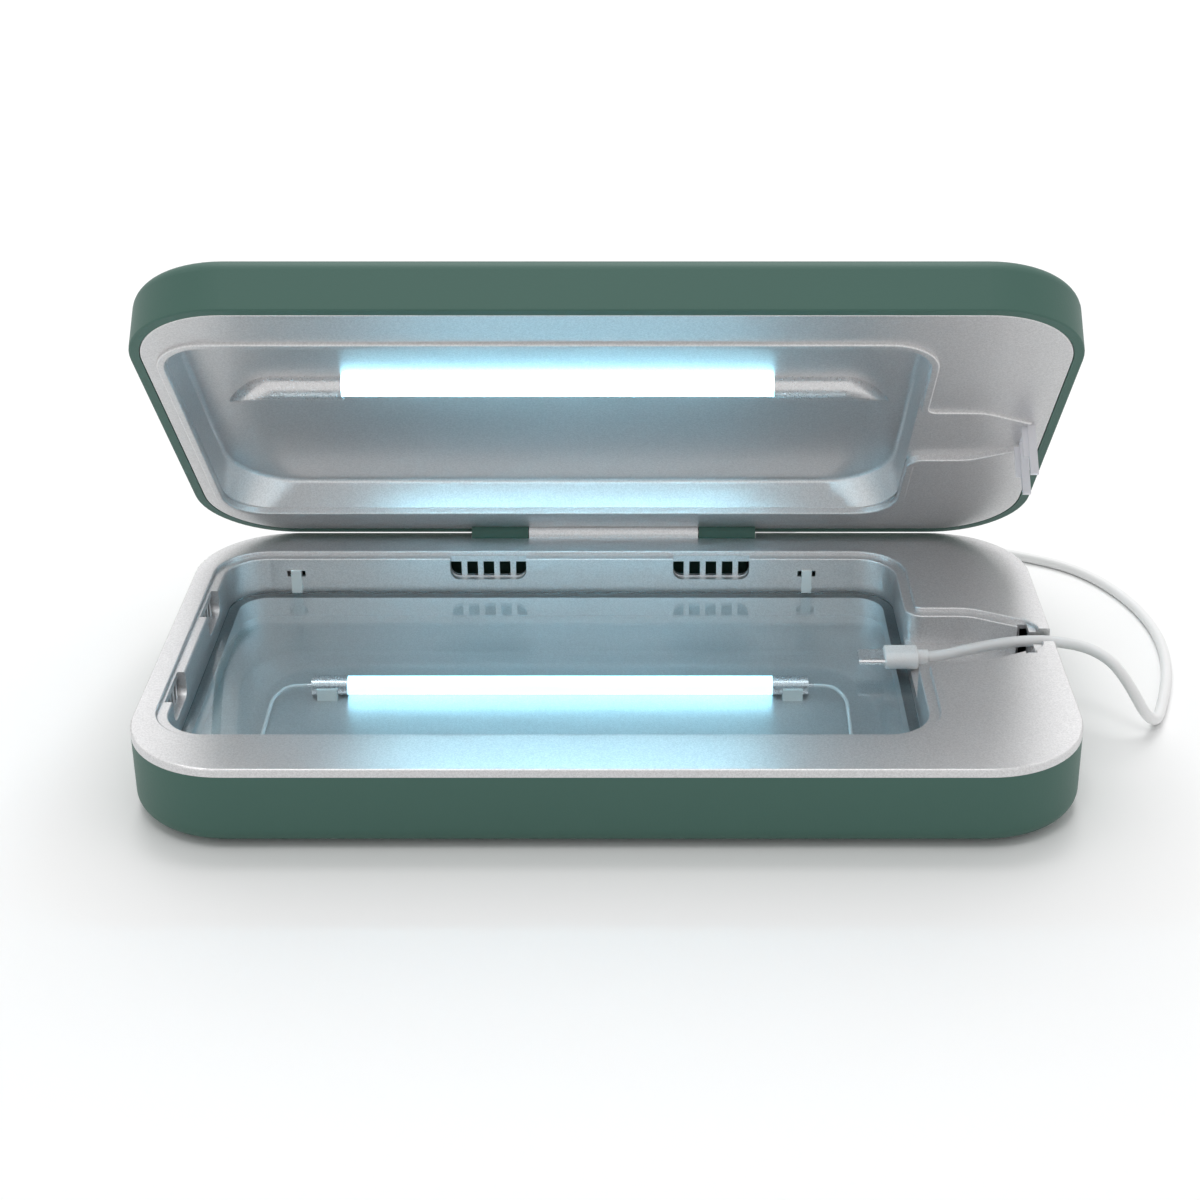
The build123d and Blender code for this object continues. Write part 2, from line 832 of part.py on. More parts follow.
def lamp_tube(middle):
    """The glass: a full-width stretch between the caps and a neck inside each."""
    with BuildPart() as tube:
        with BuildSketch(middle):
            Circle(lamp_radius)
        extrude(amount=cap_start, both=True)
        with BuildSketch(middle):
            Circle(neck_radius)
        extrude(amount=cap_start + lamp_seat, both=True)
        with BuildSketch(middle):
            Circle(glass_bore)
        extrude(amount=cap_start + lamp_seat, both=True, mode=Mode.SUBTRACT)
    return tube.part


def lamp_caps(middle):
    """An end cap with its pin at each end of the lamp."""
    with BuildPart() as caps:
        for side in (-1, 1):
            with BuildSketch(middle.offset(side * cap_start)):
                Circle(cap_radius)
            extrude(amount=side * cap_length)
            with BuildSketch(middle.offset(side * cap_start)):
                Circle(neck_radius)
            extrude(amount=side * lamp_seat, mode=Mode.SUBTRACT)
            with BuildSketch(middle.offset(side * (cap_start + cap_length))):
                Circle(cap_pin_radius)
            extrude(amount=side * cap_pin_length)
    return caps.part


def lamp_holders(base, y, height, middle):
    """A block under each end cap, hollowed to the cap."""
    with BuildPart() as holders:
        for side in (-1, 1):
            add(block(base, lamp_x + side * holder_x, y, holder_length, holder_width, height))
        with BuildSketch(middle):
            Circle(cap_radius)
        extrude(amount=case_width, both=True, mode=Mode.SUBTRACT)
    return holders.part


save("lower_lamp_tube", lamp_tube(lower_middle))
save("lower_lamp_caps", lamp_caps(lower_middle))
save(
    "lower_lamp_holders",
    lamp_holders(
        deck.offset(-trough_drop),
        chamber_y,
        trough_drop - lower_lamp_drop + holder_grip,
        lower_middle,
    ),
)
save("upper_lamp_tube", lamp_tube(upper_middle))
save("upper_lamp_caps", lamp_caps(upper_middle))
save(
    "upper_lamp_holders",
    lamp_holders(
        lid_deck.offset(upper_lamp_rise - holder_grip),
        upper_lamp_y,
        lid_height - lid_top - upper_lamp_rise + holder_grip,
        upper_middle,
    ),
)

# ------------------------------------------------------------------ boards

with BuildPart() as control_board:
    with BuildSketch(Plane.XY.offset(board_height)):
        with Locations((strip_x, strip_y)):
            Rectangle(*control_strip)
        with Locations((wing_x, wing_y)):
            Rectangle(*control_wing)
        add(case_outline(Plane.XY, case_wall + board_gap), mode=Mode.INTERSECT)
        add(
            chamber_outline(Plane.XY, ledge_width - tray_wall - board_gap), mode=Mode.SUBTRACT
        )
        with Locations(rear_screw):
            Circle(boss_radius + board_gap, mode=Mode.SUBTRACT)
        with Locations(*board_posts):
            Circle(board_screw_radius + board_screw_clearance, mode=Mode.SUBTRACT)
    extrude(amount=board_thickness)
save("control_board", control_board.part)

with BuildPart() as control_board_parts:
    on_board = Plane.XY.offset(board_top)
    for place, size, corner in (
        (chip_place, chip, 0.0),
        (choke_place, choke, choke_round),
        (supply_socket_place, supply_socket, 0.0),
        (sensor_socket_place, sensor_socket, 0.0),
    ):
        add(block(on_board, wing_x + place[0], wing_y + place[1], *size, corner))
    hinge_socket_x = strip_x + hinge_socket_place[0]
    hinge_socket_y = strip_y + hinge_socket_place[1]
    add(block(on_board, hinge_socket_x, hinge_socket_y, *hinge_socket))
    with BuildSketch(on_board):
        with Locations(*[(wing_x + x, wing_y + y) for x, y in smoother_places]):
            Circle(smoother_radius)
    extrude(amount=smoother_height)
save("control_board_parts", control_board_parts.part)

with BuildPart() as inverter_board:
    with BuildSketch(Plane.XY.offset(inverter_height)):
        with Locations((lamp_x, inverter_y)):
            Rectangle(*inverter_size)
        with Locations(*inverter_posts):
            Circle(board_screw_radius + board_screw_clearance, mode=Mode.SUBTRACT)
    extrude(amount=board_thickness)
save("inverter_board", inverter_board.part)

inverter_top = inverter_height + board_thickness
with BuildPart() as inverter_parts:
    on_inverter = Plane.XY.offset(inverter_top)
    add(block(on_inverter, lamp_x, inverter_y, *transformer, transformer_round))
    for side in (-1, 1):
        end = lamp_x + side * (inverter_size[0] / 2 - lamp_output_inset)
        add(block(on_inverter, end, inverter_y, *lamp_output))
    with BuildSketch(on_inverter):
        for side in (-1, 1):
            with Locations((lamp_x + side * ballast_spread, inverter_y)):
                Circle(ballast_radius)
    extrude(amount=ballast_height)
save("inverter_parts", inverter_parts.part)

with BuildPart() as board_screws:
    for posts, top in ((board_posts, board_top), (inverter_posts, inverter_top)):
        with BuildSketch(Plane.XY.offset(top)):
            with Locations(*posts):
                Circle(board_screw_head_radius)
        extrude(amount=board_screw_head_height)
        with BuildSketch(Plane.XY.offset(top)):
            with Locations(*posts):
                Circle(board_screw_radius)
        extrude(amount=-board_screw_length)
        extrude(
            cross_outline(
                Plane.XY.offset(top + board_screw_head_height), posts, board_screw_slot
            ),
            amount=-board_screw_slot_depth,
            mode=Mode.SUBTRACT,
        )
save("board_screws", board_screws.part)

# ------------------------------------------------------------------ ports

with BuildPart() as usb_a_port:
    mouth = Plane(origin=(usb_a_x, port_mouth, usb_a_z), x_dir=(1, 0, 0), z_dir=(0, -1, 0))
    with BuildSketch(mouth):
        Rectangle(usb_a_size[0], usb_a_size[2])
    extrude(amount=usb_a_size[1])
    with BuildSketch(mouth):
        Rectangle(usb_a_size[0] - 2 * port_metal, usb_a_size[2] - 2 * port_metal)
    extrude(amount=usb_a_size[1] - port_metal, mode=Mode.SUBTRACT)
    with BuildSketch(mouth.offset(usb_a_tongue_setback)):
        with Locations((0, usb_a_tongue_rise)):
            Rectangle(*usb_a_tongue)
    extrude(amount=usb_a_size[1] - usb_a_tongue_setback)
save("usb_a_port", usb_a_port.part)

with BuildPart() as usb_c_port:
    mouth = Plane(origin=(usb_c_x, port_mouth, usb_c_z), x_dir=(1, 0, 0), z_dir=(0, -1, 0))
    with BuildSketch(mouth):
        RectangleRounded(usb_c_size[0], usb_c_size[2], usb_c_size[2] / 2 - 0.01)
    extrude(amount=usb_c_size[1])
    with BuildSketch(mouth):
        RectangleRounded(
            usb_c_size[0] - 2 * port_metal,
            usb_c_size[2] - 2 * port_metal,
            usb_c_size[2] / 2 - port_metal - 0.01,
        )
    extrude(amount=usb_c_size[1] - port_metal, mode=Mode.SUBTRACT)
    with BuildSketch(mouth.offset(usb_c_tongue_setback)):
        Rectangle(*usb_c_tongue)
    extrude(amount=usb_c_size[1] - usb_c_tongue_setback)
save("usb_c_port", usb_c_port.part)

with BuildPart() as power_jack:
    mouth = Plane(origin=(jack_x, port_mouth, jack_z), x_dir=(1, 0, 0), z_dir=(0, -1, 0))
    with BuildSketch(mouth):
        Circle(jack_radius)
    extrude(amount=case_wall)
    with BuildSketch(mouth.offset(case_wall)):
        Rectangle(2 * (jack_radius + jack_body_margin), 2 * jack_radius)
    extrude(amount=jack_length - case_wall)
    with BuildSketch(mouth):
        Circle(jack_bore)
    extrude(amount=jack_length - jack_back, mode=Mode.SUBTRACT)
    with BuildSketch(mouth.offset(jack_pin_setback)):
        Circle(jack_pin)
    extrude(amount=jack_length - jack_pin_setback)
save("power_jack", power_jack.part)

# ------------------------------------------------------------------ sensor, magnet, feet, screws

with BuildPart() as lid_sensor:
    under_flange = Plane.XY.offset(shell_top - sensor_size[2])
    add(block(under_flange, *magnet_place, *sensor_size, sensor_round))
save("lid_sensor", lid_sensor.part)

with BuildPart() as lid_magnet:
    add(block(lid_deck.offset(plate_thickness), *magnet_place, *magnet_size))
save("lid_magnet", lid_magnet.part)

with BuildPart() as rubber_feet:
    with BuildSketch():
        with Locations(*screw_places):
            Circle(foot_radius)
    extrude(amount=foot_stand + foot_recess)
    chamfer(rubber_feet.edges().group_by(Axis.Z)[0], foot_chamfer)
save("rubber_feet", rubber_feet.part)

with BuildPart() as base_screws:
    with BuildSketch(Plane.XY.offset(screw_seat)):
        with Locations(*screw_places):
            Circle(screw_head_radius)
    extrude(amount=-screw_head_height)
    with BuildSketch(Plane.XY.offset(screw_seat)):
        with Locations(*screw_places):
            Circle(screw_radius)
    extrude(amount=screw_end - screw_seat - screw_tip_room)
    extrude(
        cross_outline(Plane.XY.offset(screw_seat - screw_head_height), screw_places, screw_slot),
        amount=screw_slot_depth,
        mode=Mode.SUBTRACT,
    )
save("base_screws", base_screws.part)

# ------------------------------------------------------------------ hinge

with BuildPart() as hinge_bushes:
    for start in (-centre_half, centre_half - bush_length):
        add(hinge_cylinder(bush_radius, start, bush_length))
        add(hinge_cylinder(pin_radius + bush_clearance, start, bush_length), mode=Mode.SUBTRACT)
save("hinge_bushes", hinge_bushes.part)

pin_outer = side_end - pin_end
with BuildPart() as hinge_pins:
    for start in (-pin_outer, pin_outer - pin_length):
        add(hinge_cylinder(pin_radius, start, pin_length))
        add(hinge_cylinder(pin_bore, start, pin_length), mode=Mode.SUBTRACT)
save("hinge_pins", hinge_pins.part)

# ------------------------------------------------------------------ lid shell

lid_axis = Axis(lid_deck.origin, lid_deck.z_dir)
peg_side = half_width - peg_side_inset
peg_front = peg_front_inset - half_depth
peg_places = [
    (-peg_side, peg_front),
    (peg_middle_x, peg_front),
    (peg_side, peg_front),
    (-peg_side, half_depth - peg_back_inset),
    (half_width - peg_back_corner[0], half_depth - peg_back_corner[1]),
    (half_width - peg_front_corner[0], peg_front_corner[1] - half_depth),
]
indicator_posts = [(lens_x + x, lens_y + y) for x, y in indicator_post_offsets]
indicator_top = indicator_rise + indicator_thickness
lid_inside = lid_height - lid_top
lid_way = Plane(
    origin=(lid_way_x, half_depth, mating_height),
    x_dir=(1, 0, 0),
    z_dir=lid_deck.z_dir - lid_deck.y_dir,
)

with BuildPart() as lid_shell:
    extrude(case_outline(lid_deck), amount=lid_height)
    fillet(lid_shell.edges().group_by(lid_axis)[-1], lid_top_edge)
    fillet(lid_shell.edges().group_by(lid_axis)[0], edge_round)
    extrude(case_outline(lid_deck, rim_width), amount=lid_inside, mode=Mode.SUBTRACT)
    with BuildSketch(lid_deck.offset(plate_thickness)):
        with Locations(*peg_places):
            Circle(peg_socket_radius)
            Circle(peg_radius, mode=Mode.SUBTRACT)
    extrude(amount=peg_length + peg_room)
    with BuildSketch(lid_deck.offset(plate_thickness + peg_length + peg_room)):
        with Locations(*peg_places):
            Circle(peg_socket_radius)
    extrude(amount=lid_inside - plate_thickness - peg_length - peg_room)
    with BuildSketch(lid_deck.offset(indicator_top)):
        with Locations(*indicator_posts):
            Circle(indicator_post_radius)
            Circle(board_screw_radius, mode=Mode.SUBTRACT)
    extrude(amount=lid_inside - indicator_top)
    with BuildSketch(lid_deck.offset(lid_inside)):
        with Locations((lens_x, lens_y)):
            Circle(lens_radius + lens_fit)
    extrude(amount=lid_top, mode=Mode.SUBTRACT)
    add(
        hinge_cylinder(knuckle_radius + relief_gap, -side_start, 2 * side_start),
        mode=Mode.SUBTRACT,
    )
    for start in (-side_end, side_start):
        add(hinge_cylinder(knuckle_radius, start, side_knuckle))
    for start in (-pin_outer, side_start):
        add(
            hinge_cylinder(pin_radius, start, pin_outer - side_start),
            mode=Mode.SUBTRACT,
        )
    for start in (-pin_outer - lead_room_length, pin_outer):
        add(hinge_cylinder(lead_room, start, lead_room_length), mode=Mode.SUBTRACT)
    with BuildSketch(lid_way):
        Circle(lead_way_radius)
    extrude(amount=2 * knuckle_radius, mode=Mode.SUBTRACT)
save("lid_shell", lid_shell.part)

# ------------------------------------------------------------------ lid reflector

lid_inset = lip_clearance + lip_width
pocket_width = 2 * (lamp_radius + pocket_margin)
slot_length = cap_length + cap_slot_margin


def cavity_solid(start, top, inset):
    """The cavity's room or its outside: it narrows, and its corners widen, to the ceiling."""
    ceiling_inset = inset + (top - start) * tan(radians(cavity_draft))
    with BuildSketch(lid_deck.offset(top)) as ceiling:
        with Locations((chamber_x, chamber_y)):
            RectangleRounded(
                chamber_width - 2 * ceiling_inset,
                chamber_depth - 2 * ceiling_inset,
                ceiling_corner + lid_inset - inset,
            )
    with BuildPart() as solid:
        loft([chamber_outline(lid_deck.offset(start), inset), ceiling.sketch])
        fillet(solid.edges().group_by(lid_axis)[-1], cavity_fillet + lid_inset - inset)
    return solid.part


with BuildPart() as lid_reflector:
    extrude(case_outline(lid_deck, rim_width + plate_clearance), amount=plate_thickness)
    fillet(lid_reflector.edges().group_by(lid_axis)[0], edge_round)
    extrude(cavity_outline(lid_deck, lip_clearance), amount=-lip_height)
    extrude(
        cavity_outline(lid_deck, lid_inset - tray_wall),
        amount=lid_channel_depth + plate_thickness,
    )
    add(cavity_solid(0.0, cavity_depth + reflector_wall, lid_inset - reflector_wall))
    add(
        block(
            lid_deck.offset(cavity_depth),
            lamp_x,
            upper_lamp_y,
            lamp_exposed + 2 * pocket_wall,
            pocket_width + 2 * pocket_wall,
            pocket_depth + pocket_wall,
        )
    )
    with BuildSketch(lid_deck.offset(plate_thickness)):
        with Locations(*peg_places):
            Circle(peg_radius)
    extrude(amount=peg_length)
    # inside: channel, cavity, lamp pocket and the slots for the lamp's caps
    extrude(
        cavity_outline(lid_deck.offset(-lip_height), lid_inset),
        amount=lip_height + lid_channel_depth,
        mode=Mode.SUBTRACT,
    )
    fillet(lid_reflector.edges().group_by(lid_axis)[0], edge_round)
    add(cavity_solid(-lip_height, cavity_depth, lid_inset), mode=Mode.SUBTRACT)
    add(
        block(
            lid_deck.offset(cavity_depth - pocket_overlap),
            lamp_x,
            upper_lamp_y,
            lamp_exposed,
            pocket_width,
            pocket_depth + pocket_overlap,
        ),
        mode=Mode.SUBTRACT,
    )
    for side in (-1, 1):
        add(
            block(
                lid_deck.offset(cavity_depth - cap_slot_overlap),
                lamp_x + side * (lamp_end + slot_length / 2),
                upper_lamp_y,
                slot_length,
                holder_width + holder_room,
                lid_height,
            ),
            mode=Mode.SUBTRACT,
        )
    # the lip stops at the gate, whose slot goes through
    add(
        block(
            lid_deck.offset(-2 * lip_height),
            gate_x + lip_cut_shift,
            channel_y,
            lip_cut_length,
            gate_width + groove_front + groove_back,
            2 * lip_height,
        ),
        mode=Mode.SUBTRACT,
    )
    add(
        block(
            lid_deck.offset(-lip_height),
            gate_x,
            channel_y,
            gate_prong + 2 * gate_fit,
            gate_width + 2 * gate_fit,
            lid_height,
        ),
        mode=Mode.SUBTRACT,
    )
    add(
        hinge_cylinder(knuckle_radius + relief_gap, -side_end, 2 * side_end),
        mode=Mode.SUBTRACT,
    )
save("lid_reflector", lid_reflector.part)

# ------------------------------------------------------------------ lamp cowls


def cowl_section(side, distance, half_width, height, scale=1.0, shift=0.0):
    """A half-ellipse under the lid's ceiling, set back by the shift."""
    start = Plane(
        origin=lid_point(lamp_x + side * distance, upper_lamp_y + shift, cavity_depth),
        x_dir=lid_deck.y_dir * side,
        z_dir=(side, 0, 0),
    )
    with BuildSketch(start) as outline:
        Ellipse(half_width * scale, height * scale)
        with Locations((0, height)):
            Rectangle(2 * half_width, 2 * height, mode=Mode.SUBTRACT)
    return outline.sketch


def cowl_solid(side, half_width, height, wall=0.0):
    """A straight stretch and a swept-back taper; with a wall, the room inside it."""
    shoulder = lamp_end + cowl_straight
    reach = cowl_taper - 3 * wall
    with BuildPart() as solid:
        extrude(
            cowl_section(side, shoulder, half_width, height), amount=wall - cowl_straight
        )
        loft(
            [
                cowl_section(
                    side,
                    shoulder + reach * step,
                    half_width,
                    height,
                    1 - step**2,
                    cowl_sweep * (reach * step / cowl_taper) ** 2,
                )
                for step in cowl_steps
            ]
        )
    return solid.part


def lamp_cowl(side):
    """A thin cowl whose mouth is closed but for the lamp's glass."""
    with BuildPart() as cowl:
        add(cowl_solid(side, cowl_half_width, cowl_height))
        add(
            cowl_solid(side, cowl_half_width - cowl_wall, cowl_height - cowl_wall, cowl_wall),
            mode=Mode.SUBTRACT,
        )
        with BuildSketch(upper_middle.offset(side * lamp_end)):
            Circle(lamp_radius + lamp_clearance)
        extrude(amount=side * cowl_wall, mode=Mode.SUBTRACT)
    return cowl.part


save("lamp_cowl_left", lamp_cowl(-1))
save("lamp_cowl_right", lamp_cowl(1))

# ------------------------------------------------------------------ cable gate

with BuildPart() as cable_gate:
    add(
        block(
            lid_deck.offset(lid_channel_depth),
            gate_x,
            channel_y,
            gate_prong,
            gate_width,
            plate_thickness,
        )
    )
    add(
        block(
            lid_deck.offset(lid_channel_depth + plate_thickness),
            gate_x,
            channel_y,
            gate_prong + 2 * gate_foot,
            gate_width + 2 * gate_foot,
            gate_foot,
        )
    )
    for side in (-1, 1):
        prong_y = channel_y + side * (gate_width - gate_thickness) / 2
        add(
            block(
                lid_deck.offset(-gate_reach),
                gate_x,
                prong_y,
                gate_prong,
                gate_thickness,
                gate_reach + lid_channel_depth,
            )
        )
        add(
            block(
                lid_deck.offset(-gate_fin_reach),
                gate_x - (gate_prong + gate_fin) / 2,
                prong_y,
                gate_fin,
                gate_fin_thickness,
                gate_fin_reach - gate_fit,
            )
        )
save("cable_gate", cable_gate.part)

# ------------------------------------------------------------------ indicator

with BuildPart() as indicator_board:
    with BuildSketch(lid_deck.offset(indicator_rise)):
        with Locations((lens_x, lens_y)):
            RectangleRounded(
                indicator_board_size, indicator_board_size, indicator_board_round
            )
        with Locations(*indicator_posts):
            Circle(board_screw_radius + board_screw_clearance, mode=Mode.SUBTRACT)
    extrude(amount=indicator_thickness)
    on_indicator = lid_deck.offset(indicator_top)
    for offsets, size in (
        ((0.0, 0.0), light),
        (lamp_socket_offset, lamp_socket),
        (lid_socket_offset, lid_socket),
    ):
        add(block(on_indicator, lens_x + offsets[0], lens_y + offsets[1], *size))
save("indicator_board", indicator_board.part)

with BuildPart() as indicator_lens:
    with BuildSketch(lid_deck.offset(lid_inside)):
        with Locations((lens_x, lens_y)):
            Circle(lens_radius)
    extrude(amount=lid_top)
    with BuildSketch(lid_deck.offset(lid_inside)):
        with Locations((lens_x, lens_y)):
            Circle(lens_radius + lens_flange_width)
    extrude(amount=-lens_flange_thickness)
save("indicator_lens", indicator_lens.part)

with BuildPart() as indicator_board_screws:
    with BuildSketch(lid_deck.offset(indicator_rise)):
        with Locations(*indicator_posts):
            Circle(board_screw_head_radius)
    extrude(amount=-board_screw_head_height)
    with BuildSketch(lid_deck.offset(indicator_rise)):
        with Locations(*indicator_posts):
            Circle(board_screw_radius)
    extrude(amount=board_screw_length)
    extrude(
        cross_outline(
            lid_deck.offset(indicator_rise - board_screw_head_height),
            indicator_posts,
            board_screw_slot,
        ),
        amount=board_screw_slot_depth,
        mode=Mode.SUBTRACT,
    )
save("indicator_board_screws", indicator_board_screws.part)

# ------------------------------------------------------------------ leads inside the case


def leads(name, routes, diameter):
    """Leads along their routes, one solid each."""
    with BuildPart() as solids:
        for route in routes:
            add(lead_solid(route, diameter))
    save(name, solids.part)


lamp_pin_end = cap_start + cap_length + cap_pin_length
inverter_end = inverter_size[0] / 2
connector_rise = 1.5
lower_lamp_route = [
    (lamp_pin_end, chamber_y, lower_lamp_z),
    (69.3, chamber_y - 0.15, 6.5),
    (72.0, chamber_y - 5.85, 6.2),
    (71.9, chamber_y - 15.35, 5.9),
    (71.6, chamber_y - 31.35, 5.8),
    (71.0, 19.5 - half_depth, 5.8),
    (67.2, 12.0 - half_depth, 6.8),
    (56.0, 10.2 - half_depth, 9.0),
    (44.0, 10.8 - half_depth, 10.6),
    (inverter_end, inverter_y + 2.0, inverter_top + connector_rise),
]
leads(
    "lower_lamp_leads",
    [[(lamp_x + side * x, y, z) for x, y, z in lower_lamp_route] for side in (-1, 1)],
    wire_diameter,
)

upper_right_route = [
    (lamp_x + lamp_pin_end, upper_lamp_y, upper_lamp_rise),
    (lamp_x + 67.8, upper_lamp_y, 8.6),
    (lamp_x + 73.0, upper_lamp_y + 0.1, 10.7),
    (lamp_x + 80.0, upper_lamp_y + 1.5, 11.0),
    (lens_x - 17.7, lens_y - 6.0, 10.8),
    (lens_x - 10.6, lens_y - 4.4, 10.3),
]
upper_left_route = [
    (lamp_x - lamp_pin_end, upper_lamp_y, upper_lamp_rise),
    (lamp_x - 67.8, upper_lamp_y, 8.6),
    (lamp_x - 73.0, upper_lamp_y + 0.5, 10.7),
    (lamp_x - 79.3, upper_lamp_y + 4.1, 11.0),
    (lamp_x - 82.3, upper_lamp_y + 12.1, 11.0),
    (lamp_x - 79.3, upper_lamp_y + 22.1, 11.0),
    (lamp_x - 69.3, upper_lamp_y + 29.1, 11.0),
    (lamp_x - 49.3, upper_lamp_y + 31.1, 11.0),
    (lamp_x - 17.3, upper_lamp_y + 29.6, 11.0),
    (lamp_x + 22.7, upper_lamp_y + 31.1, 11.0),
    (lamp_x + 57.7, upper_lamp_y + 29.1, 11.0),
    (lens_x - 27.0, lens_y + 11.5, 10.9),
    (lens_x - 17.0, lens_y + 4.0, 10.6),
    (lens_x - 10.6, lens_y + 1.0, 10.3),
]
leads(
    "upper_lamp_leads",
    [
        [lid_point(*place) for place in route]
        for route in (upper_left_route, upper_right_route)
    ],
    wire_diameter,
)

supply_route = [
    (wing_x + 0.2, wing_y - 19.8, board_top + connector_rise),
    (half_width - 20.6, channel_y - 1.5, 8.8),
    (half_width - 21.4, channel_y - 16.0, 8.2),
    (half_width - 23.0, 33.5 - half_depth, 7.8),
    (half_width - 28.0, 18.5 - half_depth, 7.8),
    (half_width - 39.0, 9.0 - half_depth, 8.4),
    (half_width - 55.0, 6.5 - half_depth, 9.8),
    (lamp_x + 48.7, 6.9 - half_depth, 10.9),
    (lamp_x + inverter_end, inverter_y - 2.3, inverter_top + connector_rise),
]
leads("supply_lead", [supply_route], hinge_lead_diameter)

hinge_route = [
    (hinge_socket_x - 2.2, hinge_socket_y, board_top + connector_rise),
    (20.0, half_depth - 5.7, 9.3),
    (9.5, half_depth - 8.5, 10.8),
    (lead_way_x, half_depth - 7.0, mating_height - 7.0),
    (lead_way_x, half_depth, mating_height),
    (14.0, half_depth + 0.2, mating_height + 0.1),
    (lead_joint_x, half_depth, mating_height),
]
leads("hinge_lead", [hinge_route], hinge_lead_diameter)

lid_lead_route = [
    (lead_joint_x + lead_joint_gap, half_depth, 0.0),
    (28.5, half_depth + 0.2, 0.1),
    (lid_way_x, half_depth, 0.0),
    (lid_way_x, half_depth - 5.6, 5.6),
    (46.0, half_depth - 8.0, 7.5),
    (62.0, half_depth - 10.3, 8.3),
    (half_width - 33.0, half_depth - 13.0, 8.8),
    (half_width - 24.0, half_depth - 25.5, 9.6),
    (lens_x - 5.0, lens_y + 22.0, 10.2),
    (lens_x - 5.0, lens_y + 10.9, 10.0),
]
leads("lid_lead", [[lid_point(*place) for place in lid_lead_route]], hinge_lead_diameter)

# ------------------------------------------------------------------ charging lead

plug_start = Plane(origin=(plug_x, plug_y, plug_z), x_dir=(0, 1, 0), z_dir=(1, 0, 0))
plug_end = plug_start.offset(plug_size[0])

with BuildPart() as lead_plug:
    with BuildSketch(plug_start):
        RectangleRounded(plug_size[1], plug_size[2], plug_size[2] / 2 - 0.1)
    extrude(amount=plug_size[0])
    fillet(lead_plug.edges().filter_by(GeomType.LINE, reverse=True), plug_edge)
    with BuildSketch(plug_end):
        Circle(boot_radius)
    extrude(amount=boot_length)
    with BuildSketch(plug_start):
        RectangleRounded(tongue_size[1], tongue_size[2], tongue_size[2] / 2 - 0.05)
    extrude(amount=plug_seat, mode=Mode.SUBTRACT)
save("lead_plug", lead_plug.part)

with BuildPart() as lead_plug_tongue:
    with BuildSketch(plug_start.offset(plug_seat)):
        RectangleRounded(tongue_size[1], tongue_size[2], tongue_size[2] / 2 - 0.05)
    extrude(amount=-(tongue_size[0] + plug_seat))
    fillet(lead_plug_tongue.faces().sort_by(Axis.X)[0].edges(), tongue_edge)
save("lead_plug_tongue", lead_plug_tongue.part)

usb_plug_start = Plane(
    origin=(usb_a_x, half_depth + usb_plug_gap, usb_a_z), x_dir=(1, 0, 0), z_dir=(0, 1, 0)
)
with BuildPart() as usb_a_plug:
    with BuildSketch(usb_plug_start):
        RectangleRounded(usb_plug_size[0], usb_plug_size[2], usb_plug_round)
    extrude(amount=usb_plug_size[1])
    fillet(usb_a_plug.edges().group_by(Axis.Y)[0], plug_edge)
    fillet(usb_a_plug.edges().group_by(Axis.Y)[-1], usb_plug_end_round)
    with BuildSketch(usb_plug_start.offset(usb_plug_size[1])):
        Circle(boot_radius + usb_plug_boot_margin)
    extrude(amount=usb_plug_boot, taper=usb_plug_boot_taper)
    with BuildSketch(usb_plug_start):
        Rectangle(usb_plug_metal[0], usb_plug_metal[2])
    extrude(amount=plug_seat, mode=Mode.SUBTRACT)
    with BuildSketch(usb_plug_start.offset(plug_seat)):
        with Locations((0, -usb_plug_tongue_z)):
            Rectangle(
                usb_plug_metal[0] - 2 * port_metal - 2 * port_fit, usb_plug_tongue_thickness
            )
    extrude(amount=-(usb_plug_metal[1] + plug_seat - usb_plug_tongue_setback))
save("usb_a_plug", usb_a_plug.part)

with BuildPart() as usb_a_plug_shell:
    with BuildSketch(usb_plug_start.offset(plug_seat)):
        Rectangle(usb_plug_metal[0], usb_plug_metal[2])
        Rectangle(
            usb_plug_metal[0] - 2 * port_metal,
            usb_plug_metal[2] - 2 * port_metal,
            mode=Mode.SUBTRACT,
        )
    extrude(amount=-(usb_plug_metal[1] + plug_seat))
save("usb_a_plug_shell", usb_a_plug_shell.part)

cord_route = [
    (plug_x + plug_size[0] + boot_length + cord_gap, plug_y, plug_z),
    (84.0, 2.0, 15.7),
    (90.0, 2.0, 17.3),
    (98.0, 2.0, 19.1),
    (106.0, 1.9, 19.98),
    (113.0, 1.0, 20.03),
    (120.3, -3.2, 20.3),
    (126.6, -8.7, 17.5),
    (135.6, -11.6, 1.4),
    (142.6, 8.0, 1.4),
    (147.2, 27.0, 1.4),
    (147.6, 46.0, 1.4),
    (143.1, 65.0, 1.4),
    (133.0, 82.3, 1.4),
    (117.0, 91.5, 1.4),
    (100.0, 98.0, 1.4),
    (82.0, 103.0, 1.4),
    (64.0, 106.0, 1.4),
    (44.0, 106.6, 1.4),
    (24.0, 105.6, 1.4),
]
tail_route = [
    (31.4, 98.3, 6.9),
    (33.6, 107.2, 5.0),
    (41.8, 111.4, 4.6),
    (51.5, 108.2, 6.4),
    (57.4, 98.2, 9.9),
    (usb_a_x, half_depth + usb_plug_gap + usb_plug_size[1] + usb_plug_boot + cord_gap, usb_a_z),
]
leads("lead_cord", [cord_route], cord_diameter)
leads("lead_tail", [tail_route], cord_diameter)

with BuildPart() as lead_coil:
    with BuildSketch():
        with Locations(coil_centre):
            Circle(coil_radius + coil_half_width)
            Circle(coil_radius - coil_half_width, mode=Mode.SUBTRACT)
    extrude(amount=coil_height)
    fillet(lead_coil.edges(), cord_diameter / 2)
save("lead_coil", lead_coil.part)

